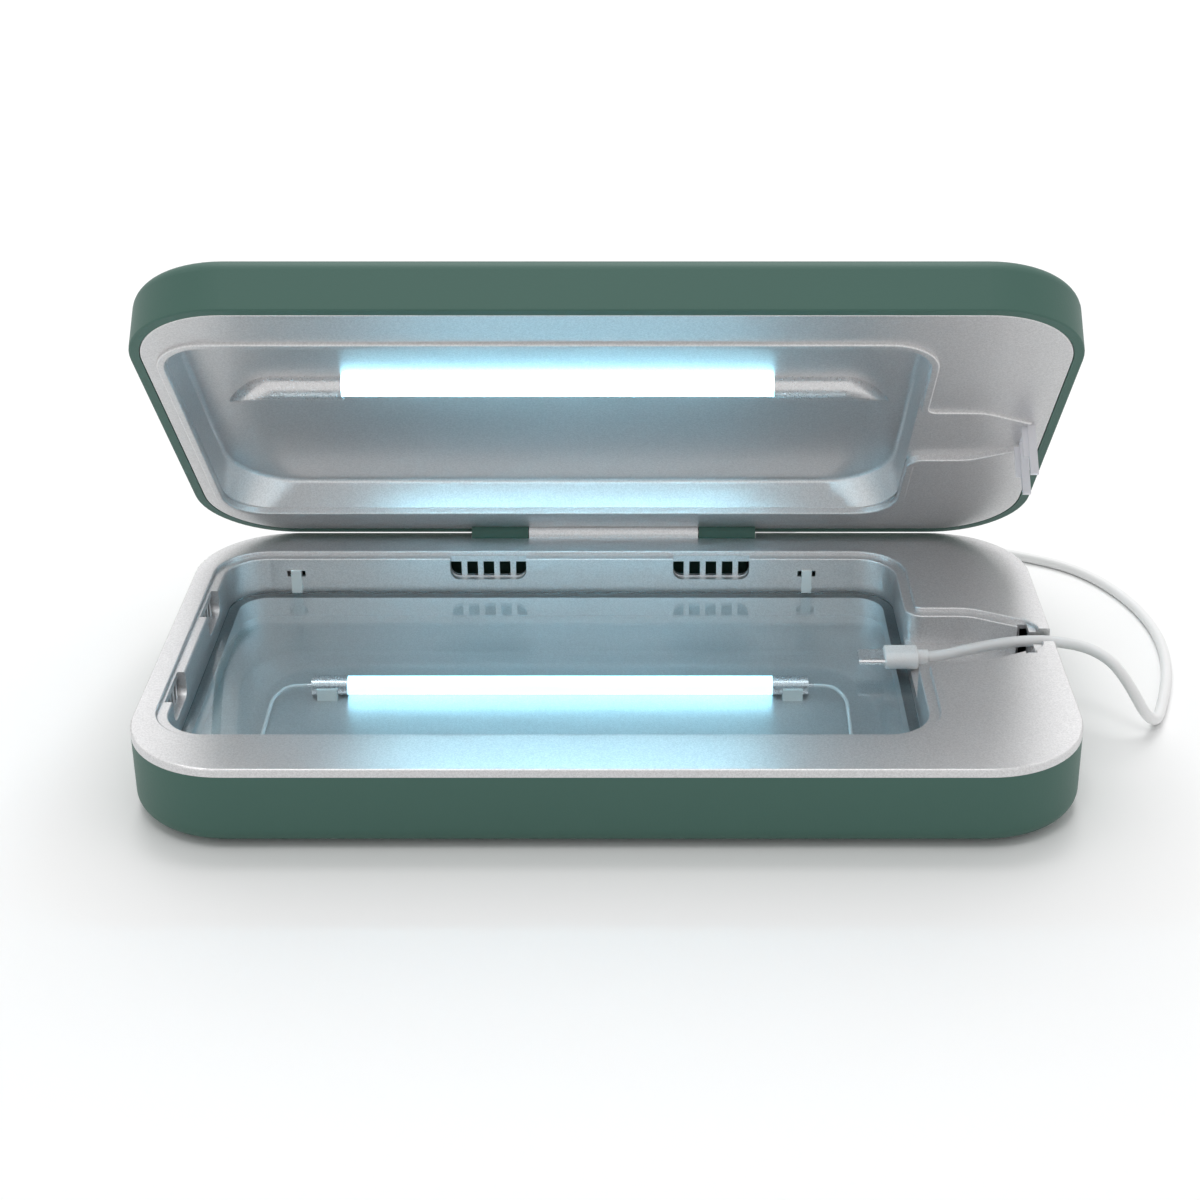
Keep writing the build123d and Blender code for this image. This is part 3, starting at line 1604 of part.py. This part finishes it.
lead_length = 2 * pi * coil_radius * coil_turns
for name, route in (("cord", cord_route), ("tail", tail_route)):
    path, radii = lead_path(route)
    lead_length += path.length
    print(name, "length", round(path.length, 1), "radii", [round(radius, 1) for radius in radii])
    print("volume", round(lead_solid(route, cord_diameter).volume, 1))
    print("section x length", round(pi / 4 * cord_diameter**2 * path.length, 1))
print("whole lead", round(lead_length, 1))
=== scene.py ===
import json
from math import cos, pi, radians, sin, sqrt

import bpy
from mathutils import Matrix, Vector


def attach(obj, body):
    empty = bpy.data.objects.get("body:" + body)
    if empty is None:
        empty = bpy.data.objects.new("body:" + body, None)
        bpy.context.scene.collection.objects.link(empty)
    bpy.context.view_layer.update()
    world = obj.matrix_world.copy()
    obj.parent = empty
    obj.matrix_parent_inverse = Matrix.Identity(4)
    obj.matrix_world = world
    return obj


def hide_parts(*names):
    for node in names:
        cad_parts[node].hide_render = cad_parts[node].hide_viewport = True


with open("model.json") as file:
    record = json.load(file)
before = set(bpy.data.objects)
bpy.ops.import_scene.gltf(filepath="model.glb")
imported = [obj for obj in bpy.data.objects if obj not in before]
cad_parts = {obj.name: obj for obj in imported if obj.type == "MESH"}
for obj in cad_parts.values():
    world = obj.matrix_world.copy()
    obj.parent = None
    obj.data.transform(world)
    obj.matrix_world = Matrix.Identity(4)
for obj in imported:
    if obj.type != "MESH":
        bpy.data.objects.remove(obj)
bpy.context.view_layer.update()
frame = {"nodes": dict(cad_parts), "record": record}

# ------------------------------------------------------------------ camera

IMAGE_WIDTH = 1200
VIEW_MIDDLE = (649.5, 537.0)  # where the camera's axis meets the image, in pixels
CAMERA_PLACE = (0.0099, -0.4817, 0.2720)
CAMERA_PITCH = 24.8  # degrees below level
CAMERA_LENS = 65.07
CAMERA_SENSOR = 36.0
CAMERA_NEAR = 0.01

camera_data = bpy.data.cameras.new("camera")
camera_data.lens = CAMERA_LENS
camera_data.sensor_width = CAMERA_SENSOR
camera_data.shift_x = (IMAGE_WIDTH / 2 - VIEW_MIDDLE[0]) / IMAGE_WIDTH
camera_data.shift_y = (VIEW_MIDDLE[1] - IMAGE_WIDTH / 2) / IMAGE_WIDTH
camera_data.clip_start = CAMERA_NEAR
camera = bpy.data.objects.new("camera", camera_data)
camera.location = CAMERA_PLACE
camera.rotation_euler = (radians(90 - CAMERA_PITCH), 0, 0)
bpy.context.collection.objects.link(camera)
bpy.context.scene.camera = camera

# ------------------------------------------------------------------ charging lead

CORD_DIAMETER = 0.0028
CORD_RADIUS = CORD_DIAMETER / 2
CORD_BEVEL_RESOLUTION = 7
CORD_SPLINE_RESOLUTION = 6
SPLINE_SHARE = 0.75  # how much of the curve's place comes from its nearest point
COIL_CENTRE = (0.0140, 0.0870)
COIL_RADIUS = 0.0155
COIL_POINTS_PER_TURN = 16
COIL_START = radians(84)
COIL_POINT_COUNT = 109
COIL_CHANGE = 0.25  # share of a turn over which the cord steps to the next layer
# each turn's place, in cord diameters outwards and in rows upwards
COIL_PLACES = [(0.5, 0), (-0.5, 0), (-1.0, 1), (-0.5, 2), (0.0, 1), (1.0, 1), (0.5, 2)]

CORD_FRONT = [
    (0.0802, 0.0020, 0.0152),
    (0.0840, 0.0020, 0.0157),
    (0.0900, 0.0020, 0.0173),
    (0.0980, 0.0020, 0.0191),
    (0.1060, 0.0019, 0.01998),
    (0.1130, 0.0010, 0.02003),
    (0.1203, -0.0032, 0.0203),
    (0.1266, -0.0087, 0.0175),
    (0.1356, -0.0116, CORD_RADIUS),
    (0.1426, 0.0080, CORD_RADIUS),
    (0.1472, 0.0270, CORD_RADIUS),
    (0.1476, 0.0460, CORD_RADIUS),
    (0.1431, 0.0650, CORD_RADIUS),
    (0.1330, 0.0823, CORD_RADIUS),
    (0.1170, 0.0915, CORD_RADIUS),
    (0.1000, 0.0980, CORD_RADIUS),
    (0.0820, 0.1030, CORD_RADIUS),
    (0.0640, 0.1060, CORD_RADIUS),
    (0.0440, 0.1066, CORD_RADIUS),
    (0.0240, 0.1056, CORD_RADIUS),
]
CORD_TAIL = [
    (0.0314, 0.0983, 0.0069),
    (0.0336, 0.1072, 0.0050),
    (0.0418, 0.1114, 0.0046),
    (0.0515, 0.1082, 0.0064),
    (0.0574, 0.0982, 0.0099),
    (0.0580, 0.0882, 0.01045),
]


def coil_points():
    """The coil's turns, two rows of two with a row of three between them."""
    row_rise = sqrt(3) / 2 * CORD_DIAMETER
    step = 2 * pi / COIL_POINTS_PER_TURN
    # a spline runs inside its points by this much
    bulge = 1 / (SPLINE_SHARE + (1 - SPLINE_SHARE) * cos(step))
    points = []
    for i in range(COIL_POINT_COUNT):
        turn, place = divmod(i, COIL_POINTS_PER_TURN)
        share = max(0.0, place / COIL_POINTS_PER_TURN - (1 - COIL_CHANGE)) / COIL_CHANGE
        here = COIL_PLACES[turn]
        following = COIL_PLACES[min(turn + 1, len(COIL_PLACES) - 1)]
        outwards = here[0] + share * (following[0] - here[0])
        row = here[1] + share * (following[1] - here[1])
        radius = (COIL_RADIUS + outwards * CORD_DIAMETER) * bulge
        angle = COIL_START + i * step
        points.append((
            COIL_CENTRE[0] + radius * cos(angle),
            COIL_CENTRE[1] + radius * sin(angle),
            CORD_RADIUS + row * row_rise,
        ))
    return points


def cord_curve(name, points):
    """A round cord along one smooth spline."""
    curve = bpy.data.curves.new(name, "CURVE")
    curve.dimensions = "3D"
    curve.bevel_depth = CORD_RADIUS
    curve.bevel_resolution = CORD_BEVEL_RESOLUTION
    curve.resolution_u = CORD_SPLINE_RESOLUTION
    curve.use_fill_caps = True
    spline = curve.splines.new("NURBS")
    spline.points.add(len(points) - 1)
    for point, place in zip(spline.points, points):
        point.co = (*place, 1.0)
    spline.order_u = 3
    spline.use_endpoint_u = True
    cord = bpy.data.objects.new(name, curve)
    bpy.context.collection.objects.link(cord)
    return cord


charging_cord = cord_curve("charging_cord", CORD_FRONT + coil_points() + CORD_TAIL)

# ------------------------------------------------------------------ shader tools


def add_node(tree, kind, inputs=None, **settings):
    """A node whose inputs take values or the sockets given."""
    made = tree.nodes.new(kind)
    for name, value in settings.items():
        setattr(made, name, value)
    for name, value in (inputs or {}).items():
        if isinstance(value, bpy.types.NodeSocket):
            tree.links.new(value, made.inputs[name])
        else:
            made.inputs[name].default_value = value
    return made


def surface_group(name, inputs):
    """An empty group for a surface's colour, roughness and normal, and the nodes that hold them."""
    group = bpy.data.node_groups.new(name, "ShaderNodeTree")
    for label, kind, value in inputs:
        socket = group.interface.new_socket(label, in_out="INPUT", socket_type=kind)
        socket.default_value = value
    for label, kind in (
        ("Color", "NodeSocketColor"),
        ("Roughness", "NodeSocketFloat"),
        ("Normal", "NodeSocketVector"),
    ):
        group.interface.new_socket(label, in_out="OUTPUT", socket_type=kind)
    return group, group.nodes.new("NodeGroupInput"), group.nodes.new("NodeGroupOutput")


def noise(tree, place, scale, detail=2.0):
    """Noise from 0 to 1 with about scale waves to the metre."""
    return add_node(
        tree, "ShaderNodeTexNoise", {"Vector": place, "Scale": scale, "Detail": detail}
    ).outputs["Fac"]


def ranged(tree, value, low, high):
    """A value from 0 to 1 spread from low to high."""
    return add_node(
        tree, "ShaderNodeMapRange", {"Value": value, "To Min": low, "To Max": high}
    ).outputs["Result"]


def shaded(tree, colour, value):
    """A colour made darker or lighter by a value about 1."""
    made = add_node(tree, "ShaderNodeVectorMath", {0: colour}, operation="SCALE")
    tree.links.new(value, made.inputs["Scale"])
    return made.outputs["Vector"]


def calculated(tree, operation, value, other):
    """The result of one operation on two values."""
    return add_node(
        tree, "ShaderNodeMath", {0: value, 1: other}, operation=operation
    ).outputs["Value"]


def set_surface(group, given, made, tone, gloss, height, depth):
    """Sets a group's outputs from its changes of tone and gloss and its relief."""
    bump = add_node(
        group, "ShaderNodeBump", {"Strength": 1.0, "Distance": depth, "Height": height}
    )
    results = {
        "Color": shaded(group, given["Color"], tone),
        "Roughness": calculated(group, "ADD", given["Roughness"], gloss),
        "Normal": bump.outputs["Normal"],
    }
    for name, result in results.items():
        group.links.new(result, made.inputs[name])


CLOUD_DETAIL = 3.0
# noise scales, and the most that a cloud, grain or flake changes the tone or gloss by
MOULD_CLOUD_SCALE = 38.0
MOULD_GRAIN_GLOSS = 0.05
PAINT_CLOUD_SCALE = 30.0
PAINT_CLOUD_TONE = 0.04
PAINT_CLOUD_GLOSS = 0.05
PAINT_FLAKE_GLOSS = 0.08
PAINT_PEEL_SCALE = 2600.0


def build_moulded_grain():
    """Spark-eroded mould texture with slow drifts of tone and gloss."""
    group, entry, made = surface_group(
        "moulded_grain",
        [
            ("Color", "NodeSocketColor", (0.5, 0.5, 0.5, 1.0)),
            ("Roughness", "NodeSocketFloat", 0.5),
            ("Grain Size", "NodeSocketFloat", 0.0004),
            ("Grain Depth", "NodeSocketFloat", 0.00002),
            ("Drift", "NodeSocketFloat", 0.06),
        ],
    )
    given = entry.outputs
    place = add_node(group, "ShaderNodeTexCoord").outputs["Object"]
    fineness = calculated(group, "DIVIDE", 1.0, given["Grain Size"])
    grain = noise(group, place, fineness, CLOUD_DETAIL)
    cloud = noise(group, place, MOULD_CLOUD_SCALE, CLOUD_DETAIL)
    drift = calculated(group, "MULTIPLY", ranged(group, cloud, -1.0, 1.0), given["Drift"])
    tone = calculated(group, "ADD", drift, 1.0)
    roughened = ranged(group, grain, -MOULD_GRAIN_GLOSS, MOULD_GRAIN_GLOSS)
    gloss = calculated(group, "ADD", roughened, drift)
    set_surface(group, given, made, tone, gloss, grain, given["Grain Depth"])
    return group


def build_metal_flake():
    """Metallic paint: flakes of uneven brightness under a satin coat."""
    group, entry, made = surface_group(
        "metal_flake",
        [
            ("Color", "NodeSocketColor", (0.5, 0.5, 0.5, 1.0)),
            ("Roughness", "NodeSocketFloat", 0.4),
            ("Flake Size", "NodeSocketFloat", 0.0003),
            ("Flake Contrast", "NodeSocketFloat", 0.15),
            ("Orange Peel", "NodeSocketFloat", 0.00002),
        ],
    )
    given = entry.outputs
    place = add_node(group, "ShaderNodeTexCoord").outputs["Object"]
    fineness = calculated(group, "DIVIDE", 1.0, given["Flake Size"])
    cells = add_node(
        group, "ShaderNodeTexVoronoi", {"Vector": place, "Scale": fineness}, feature="F1"
    )
    flake = add_node(
        group, "ShaderNodeSeparateColor", {"Color": cells.outputs["Color"]}
    ).outputs
    cloud = noise(group, place, PAINT_CLOUD_SCALE, CLOUD_DETAIL)
    glint = ranged(group, flake["Red"], -1.0, 1.0)
    spread = calculated(group, "MULTIPLY", glint, given["Flake Contrast"])
    tone = calculated(
        group,
        "ADD",
        calculated(group, "ADD", spread, 1.0),
        ranged(group, cloud, -PAINT_CLOUD_TONE, PAINT_CLOUD_TONE),
    )
    gloss = calculated(
        group,
        "ADD",
        ranged(group, flake["Green"], -PAINT_FLAKE_GLOSS, PAINT_FLAKE_GLOSS),
        ranged(group, cloud, -PAINT_CLOUD_GLOSS, PAINT_CLOUD_GLOSS),
    )
    peel = noise(group, place, PAINT_PEEL_SCALE)
    set_surface(group, given, made, tone, gloss, peel, given["Orange Peel"])
    return group


moulded_grain = build_moulded_grain()
metal_flake = build_metal_flake()


def new_material(name):
    """A material with a Principled shader and nothing else."""
    material = bpy.data.materials.new(name)
    material.use_nodes = True
    tree = material.node_tree
    return material, tree, tree.nodes["Principled BSDF"]


def grouped_material(name, group, values):
    """A material whose surface comes from a group set with these values."""
    material, tree, shader = new_material(name)
    placed = tree.nodes.new("ShaderNodeGroup")
    placed.node_tree = group
    for label, value in values.items():
        placed.inputs[label].default_value = value
    tree.links.new(placed.outputs["Color"], shader.inputs["Base Color"])
    tree.links.new(placed.outputs["Roughness"], shader.inputs["Roughness"])
    tree.links.new(placed.outputs["Normal"], shader.inputs["Normal"])
    return material, shader


def moulded(name, colour, roughness, grain_size, grain_depth, drift):
    """Moulded plastic or rubber."""
    values = {
        "Color": (*colour, 1.0),
        "Roughness": roughness,
        "Grain Size": grain_size,
        "Grain Depth": grain_depth,
        "Drift": drift,
    }
    material, _ = grouped_material(name, moulded_grain, values)
    return material


def flaked(name, colour, roughness, metallic, flake_size, contrast, peel):
    """Metallic paint or plated metal."""
    values = {
        "Color": (*colour, 1.0),
        "Roughness": roughness,
        "Flake Size": flake_size,
        "Flake Contrast": contrast,
        "Orange Peel": peel,
    }
    material, shader = grouped_material(name, metal_flake, values)
    shader.inputs["Metallic"].default_value = metallic
    return material


LAMP_COLOUR = (0.38, 0.81, 1.0)
UPPER_LAMP_STRENGTH = 13.5
LOWER_LAMP_STRENGTH = 2.4
LAMP_GLASS = (0.85, 0.95, 1.0)
LAMP_GLASS_ROUGHNESS = 0.15
LAMP_CLOUD_SCALE = 60.0
LAMP_CLOUD_GLOW = 0.06
QUARTZ_IOR = 1.46
LENS_IOR = 1.49
HAZE_SCALE = 90.0
HAZE_SPREAD = 0.04
SHELL_SHEEN = 0.25  # how much the painted shells mirror the room


def glowing_glass(name, strength):
    """A lit lamp's tube."""
    material, tree, shader = new_material(name)
    place = add_node(tree, "ShaderNodeTexCoord").outputs["Object"]
    shader.inputs["Base Color"].default_value = (*LAMP_GLASS, 1.0)
    shader.inputs["Roughness"].default_value = LAMP_GLASS_ROUGHNESS
    cloud = noise(tree, place, LAMP_CLOUD_SCALE)
    level = ranged(tree, cloud, 1 - LAMP_CLOUD_GLOW, 1 + LAMP_CLOUD_GLOW)
    glow = shaded(tree, LAMP_COLOUR, level)
    tree.links.new(glow, shader.inputs["Emission Color"])
    shader.inputs["Emission Strength"].default_value = strength
    return material


def clear(name, colour, roughness, ior):
    """A clear pane that lets the lamp's light through without a caustic."""
    material, tree, shader = new_material(name)
    shader.inputs["Base Color"].default_value = (*colour, 1.0)
    shader.inputs["Transmission Weight"].default_value = 1.0
    shader.inputs["IOR"].default_value = ior
    place = add_node(tree, "ShaderNodeTexCoord").outputs["Object"]
    haze = ranged(tree, noise(tree, place, HAZE_SCALE), roughness, roughness + HAZE_SPREAD)
    tree.links.new(haze, shader.inputs["Roughness"])
    path = add_node(tree, "ShaderNodeLightPath")
    through = add_node(tree, "ShaderNodeBsdfTransparent", {"Color": (*colour, 1.0)})
    unseen = calculated(
        tree, "ADD", path.outputs["Is Shadow Ray"], path.outputs["Is Diffuse Ray"]
    )
    mixed = add_node(tree, "ShaderNodeMixShader", {0: unseen})
    tree.links.new(shader.outputs["BSDF"], mixed.inputs[1])
    tree.links.new(through.outputs["BSDF"], mixed.inputs[2])
    tree.links.new(mixed.outputs["Shader"], tree.nodes["Material Output"].inputs["Surface"])
    return material


# colour, roughness, grain size and depth in metres, drift of tone
MOULDED_FINISHES = {
    "case_green": ((0.060, 0.133, 0.108), 0.48, 0.0005, 0.00003, 0.03),
    "clip_white": ((0.82, 0.82, 0.80), 0.35, 0.0003, 0.00002, 0.04),
    "holder_white": ((0.78, 0.78, 0.76), 0.45, 0.0003, 0.00002, 0.04),
    "wire_white": ((0.78, 0.78, 0.78), 0.4, 0.0002, 0.00001, 0.04),
    "wire_black": ((0.025, 0.025, 0.026), 0.4, 0.0002, 0.00001, 0.04),
    "board_green": ((0.025, 0.15, 0.065), 0.32, 0.0006, 0.00002, 0.12),
    "component_black": ((0.022, 0.022, 0.024), 0.5, 0.0003, 0.00002, 0.04),
    "foot_rubber": ((0.035, 0.035, 0.036), 0.75, 0.0005, 0.00004, 0.04),
    "gate_white": ((0.80, 0.80, 0.84), 0.3, 0.0004, 0.00001, 0.03),
    "cord_white": ((0.83, 0.83, 0.83), 0.42, 0.0003, 0.00001, 0.02),
    "plug_white": ((0.86, 0.86, 0.86), 0.28, 0.0003, 0.00001, 0.02),
}
# colour, roughness, metallic, flake size in metres, flake contrast, depth of the peel in metres
FLAKED_FINISHES = {
    "tray_silver": ((0.66, 0.655, 0.66), 0.38, 0.88, 0.00026, 0.10, 0.000004),
    "cowl_silver": ((0.68, 0.675, 0.68), 0.34, 0.88, 0.00026, 0.08, 0.000004),
    "lamp_cap": ((0.62, 0.62, 0.64), 0.3, 1.0, 0.0002, 0.05, 0.00001),
    "port_steel": ((0.60, 0.60, 0.61), 0.28, 1.0, 0.0002, 0.06, 0.00001),
    "plug_steel": ((0.72, 0.72, 0.73), 0.22, 1.0, 0.0002, 0.04, 0.00001),
    "screw_steel": ((0.55, 0.55, 0.56), 0.32, 1.0, 0.0002, 0.08, 0.00001),
    "pin_steel": ((0.58, 0.58, 0.59), 0.22, 1.0, 0.0002, 0.04, 0.00001),
    "bush_brass": ((0.72, 0.50, 0.20), 0.3, 1.0, 0.0002, 0.06, 0.00001),
    "magnet_grey": ((0.48, 0.48, 0.49), 0.3, 1.0, 0.0003, 0.08, 0.00001),
}
# colour, least roughness, index of refraction
CLEAR_FINISHES = {
    "quartz": ((0.90, 0.975, 1.0), 0.0, QUARTZ_IOR),
    "lens_clear": ((0.86, 0.92, 0.92), 0.08, LENS_IOR),
}

materials = {"lamp_glass": glowing_glass("lamp_glass", UPPER_LAMP_STRENGTH)}
for make, finishes in (
    (moulded, MOULDED_FINISHES),
    (flaked, FLAKED_FINISHES),
    (clear, CLEAR_FINISHES),
):
    for name, finish in finishes.items():
        materials[name] = make(name, *finish)


def dress(mesh, material):
    """Gives a mesh one material in place of any it has."""
    mesh.materials.clear()
    mesh.materials.append(material)


# ------------------------------------------------------------------ repeated details

PLUG_PLACE = (0.0580, 0.0643, 0.01045)  # middle of the supply plug's near face
PLUG_BODY_LENGTH = 0.0170
BOOT_RADIUS = 0.00244
BOOT_RIBS = 4
BOOT_RIB_PITCH = 0.0013
BOOT_RIB_THICKNESS = 0.00028
BOOT_TAPER = 0.038  # share of its radius that the boot loses from rib to rib
TIE_PLACE = (COIL_CENTRE[0] - COIL_RADIUS, COIL_CENTRE[1], 0.00418)
TIE_HALF_WIDTH = 0.00455
TIE_HALF_HEIGHT = 0.00382
TIE_TURNS = 3
TIE_PITCH = 0.0012
TIE_THICKNESS = 0.00035
RING_CORNERS = 32
BEAD_CORNERS = 8
ROW_ALONG_Y = (-pi / 2, 0.0, 0.0)  # turns a row that stands along z


def details_group(name, inputs):
    """An empty geometry group with named sizes, and the nodes that hold them."""
    group = bpy.data.node_groups.new(name, "GeometryNodeTree")
    for label, kind in inputs:
        group.interface.new_socket(label, in_out="INPUT", socket_type=kind)
    group.interface.new_socket("Geometry", in_out="OUTPUT", socket_type="NodeSocketGeometry")
    return group, group.nodes.new("NodeGroupInput"), group.nodes.new("NodeGroupOutput")


def build_ring_row():
    """A row of oval rings along z that shrink evenly, turned and set in place."""
    group, given, made = details_group(
        "ring_row",
        [
            ("Count", "NodeSocketInt"),
            ("Pitch", "NodeSocketFloat"),
            ("Half Width", "NodeSocketFloat"),
            ("Half Height", "NodeSocketFloat"),
            ("Thickness", "NodeSocketFloat"),
            ("Taper", "NodeSocketFloat"),
            ("Place", "NodeSocketVector"),
            ("Turn", "NodeSocketVector"),
            ("Material", "NodeSocketMaterial"),
        ],
    )
    size = given.outputs
    step = add_node(group, "ShaderNodeCombineXYZ", {"Z": size["Pitch"]})
    row = add_node(
        group,
        "GeometryNodeMeshLine",
        {"Count": size["Count"], "Offset": step.outputs["Vector"]},
        mode="OFFSET",
    )
    oval = add_node(
        group, "GeometryNodeCurvePrimitiveCircle", {"Resolution": RING_CORNERS, "Radius": 1.0}
    )
    spread = add_node(
        group,
        "ShaderNodeCombineXYZ",
        {"X": size["Half Width"], "Y": size["Half Height"], "Z": 1.0},
    )
    flattened = add_node(
        group,
        "GeometryNodeTransform",
        {"Geometry": oval.outputs["Curve"], "Scale": spread.outputs["Vector"]},
    )
    bead = add_node(
        group,
        "GeometryNodeCurvePrimitiveCircle",
        {"Resolution": BEAD_CORNERS, "Radius": size["Thickness"]},
    )
    ring = add_node(
        group,
        "GeometryNodeCurveToMesh",
        {"Curve": flattened.outputs["Geometry"], "Profile Curve": bead.outputs["Curve"]},
    )
    index = add_node(group, "GeometryNodeInputIndex")
    lost = calculated(group, "MULTIPLY", index.outputs["Index"], size["Taper"])
    rings = add_node(
        group,
        "GeometryNodeInstanceOnPoints",
        {
            "Points": row.outputs["Mesh"],
            "Instance": ring.outputs["Mesh"],
            "Scale": calculated(group, "SUBTRACT", 1.0, lost),
        },
    )
    solid = add_node(
        group, "GeometryNodeRealizeInstances", {"Geometry": rings.outputs["Instances"]}
    )
    placed = add_node(
        group,
        "GeometryNodeTransform",
        {
            "Geometry": solid.outputs["Geometry"],
            "Translation": size["Place"],
            "Rotation": size["Turn"],
        },
    )
    finished = add_node(
        group,
        "GeometryNodeSetMaterial",
        {"Geometry": placed.outputs["Geometry"], "Material": size["Material"]},
    )
    group.links.new(finished.outputs["Geometry"], made.inputs["Geometry"])
    return group


def grown_piece(name, group, values):
    """A plain mesh on the base, made by a geometry group from the values given."""
    maker = bpy.data.objects.new(name + "_maker", bpy.data.meshes.new(name + "_seed"))
    bpy.context.collection.objects.link(maker)
    modifier = maker.modifiers.new("details", "NODES")
    modifier.node_group = group
    for item in group.interface.items_tree:
        if item.item_type == "SOCKET" and item.in_out == "INPUT":
            modifier[item.identifier] = values[item.name]
    bpy.context.view_layer.update()
    seen = maker.evaluated_get(bpy.context.evaluated_depsgraph_get())
    mesh = bpy.data.meshes.new_from_object(seen)
    mesh.name = name
    bpy.data.objects.remove(maker)
    # the grown mesh brings an empty slot beside its own material
    dress(mesh, values["Material"])
    mesh.shade_smooth()
    piece = bpy.data.objects.new(name, mesh)
    bpy.context.collection.objects.link(piece)
    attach(piece, "base")


ring_row = build_ring_row()
grown_piece(
    "supply_plug_ribs",
    ring_row,
    {
        "Count": BOOT_RIBS,
        "Pitch": BOOT_RIB_PITCH,
        "Half Width": BOOT_RADIUS,
        "Half Height": BOOT_RADIUS,
        "Thickness": BOOT_RIB_THICKNESS,
        "Taper": BOOT_TAPER,
        "Place": (
            PLUG_PLACE[0],
            PLUG_PLACE[1] + PLUG_BODY_LENGTH + BOOT_RIB_PITCH,
            PLUG_PLACE[2],
        ),
        "Turn": ROW_ALONG_Y,
        "Material": materials["plug_white"],
    },
)
grown_piece(
    "coil_tie",
    ring_row,
    {
        "Count": TIE_TURNS,
        "Pitch": TIE_PITCH,
        "Half Width": TIE_HALF_WIDTH,
        "Half Height": TIE_HALF_HEIGHT,
        "Thickness": TIE_THICKNESS,
        "Taper": 0.0,
        "Place": (TIE_PLACE[0], TIE_PLACE[1] - TIE_PITCH, TIE_PLACE[2]),
        "Turn": ROW_ALONG_Y,
        "Material": materials["wire_black"],
    },
)

# ------------------------------------------------------------------ finishes

shell_paint = materials["case_green"].node_tree.nodes["Principled BSDF"]
shell_paint.inputs["Specular IOR Level"].default_value = SHELL_SHEEN

for row in frame["record"]["subparts"]:
    dress(frame["nodes"][row["node"]].data, materials[row["material_slot"]])

# the lower lamp has its own, lower level, so that it doesn't wash out the chamber
lower_lamp_glass = glowing_glass("lower_lamp_glass", LOWER_LAMP_STRENGTH)
dress(frame["nodes"]["lower_lamp_tube"].data, lower_lamp_glass)

charging_cord.data.materials.append(materials["cord_white"])
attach(charging_cord, "base")
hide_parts("lead_cord", "lead_coil", "lead_tail")

# ------------------------------------------------------------------ floor and light

FLOOR_WHITE = (0.95, 0.95, 0.95)
FLOOR_REACH = 6.0
FLOOR_ROUGHNESS = 0.9
FLOOR_SHEEN = 0.1
WORLD_LEVEL = 0.65
BACKDROP_LEVEL = 1.0


def studio_floor():
    """A wide pale floor."""
    mesh = bpy.data.meshes.new("floor")
    corners = [
        (across * FLOOR_REACH, back * FLOOR_REACH, 0.0)
        for across, back in ((-1, -1), (1, -1), (1, 1), (-1, 1))
    ]
    mesh.from_pydata(corners, [], [(0, 1, 2, 3)])
    floor = bpy.data.objects.new("floor", mesh)
    bpy.context.collection.objects.link(floor)
    material, _, shader = new_material("floor_white")
    shader.inputs["Base Color"].default_value = (*FLOOR_WHITE, 1.0)
    shader.inputs["Roughness"].default_value = FLOOR_ROUGHNESS
    shader.inputs["Specular IOR Level"].default_value = FLOOR_SHEEN
    mesh.materials.append(material)


def studio_world():
    """An even white surround that is brighter where it is seen, mirrored or seen through glass."""
    world = bpy.data.worlds.new("studio")
    bpy.context.scene.world = world
    world.use_nodes = True
    tree = world.node_tree
    background = tree.nodes["Background"]
    background.inputs["Color"].default_value = (1.0, 1.0, 1.0, 1.0)
    path = add_node(tree, "ShaderNodeLightPath")
    seen = calculated(tree, "ADD", path.outputs["Is Camera Ray"], path.outputs["Is Glossy Ray"])
    seen = calculated(tree, "ADD", seen, path.outputs["Is Transmission Ray"])
    level = add_node(
        tree,
        "ShaderNodeMapRange",
        {"Value": seen, "To Min": WORLD_LEVEL, "To Max": BACKDROP_LEVEL},
    )
    tree.links.new(level.outputs["Result"], background.inputs["Strength"])


def softbox(name, place, aim, size, power):
    """A square soft light turned to the point it is aimed at."""
    light = bpy.data.lights.new(name, "AREA")
    light.size = size
    light.energy = power
    lamp = bpy.data.objects.new(name, light)
    lamp.location = place
    lamp.rotation_euler = (Vector(aim) - Vector(place)).to_track_quat("-Z", "Y").to_euler()
    bpy.context.collection.objects.link(lamp)


studio_floor()
studio_world()
softbox("overhead_light", place=(0.0, 1.3, 2.2), aim=(0.0, 0.0, 0.0), size=1.6, power=30.0)
softbox("edge_light", place=(-0.2, -0.75, 2.1), aim=(0.0, 0.0, 0.04), size=0.6, power=5.0)

bpy.context.scene.view_settings.view_transform = "Standard"
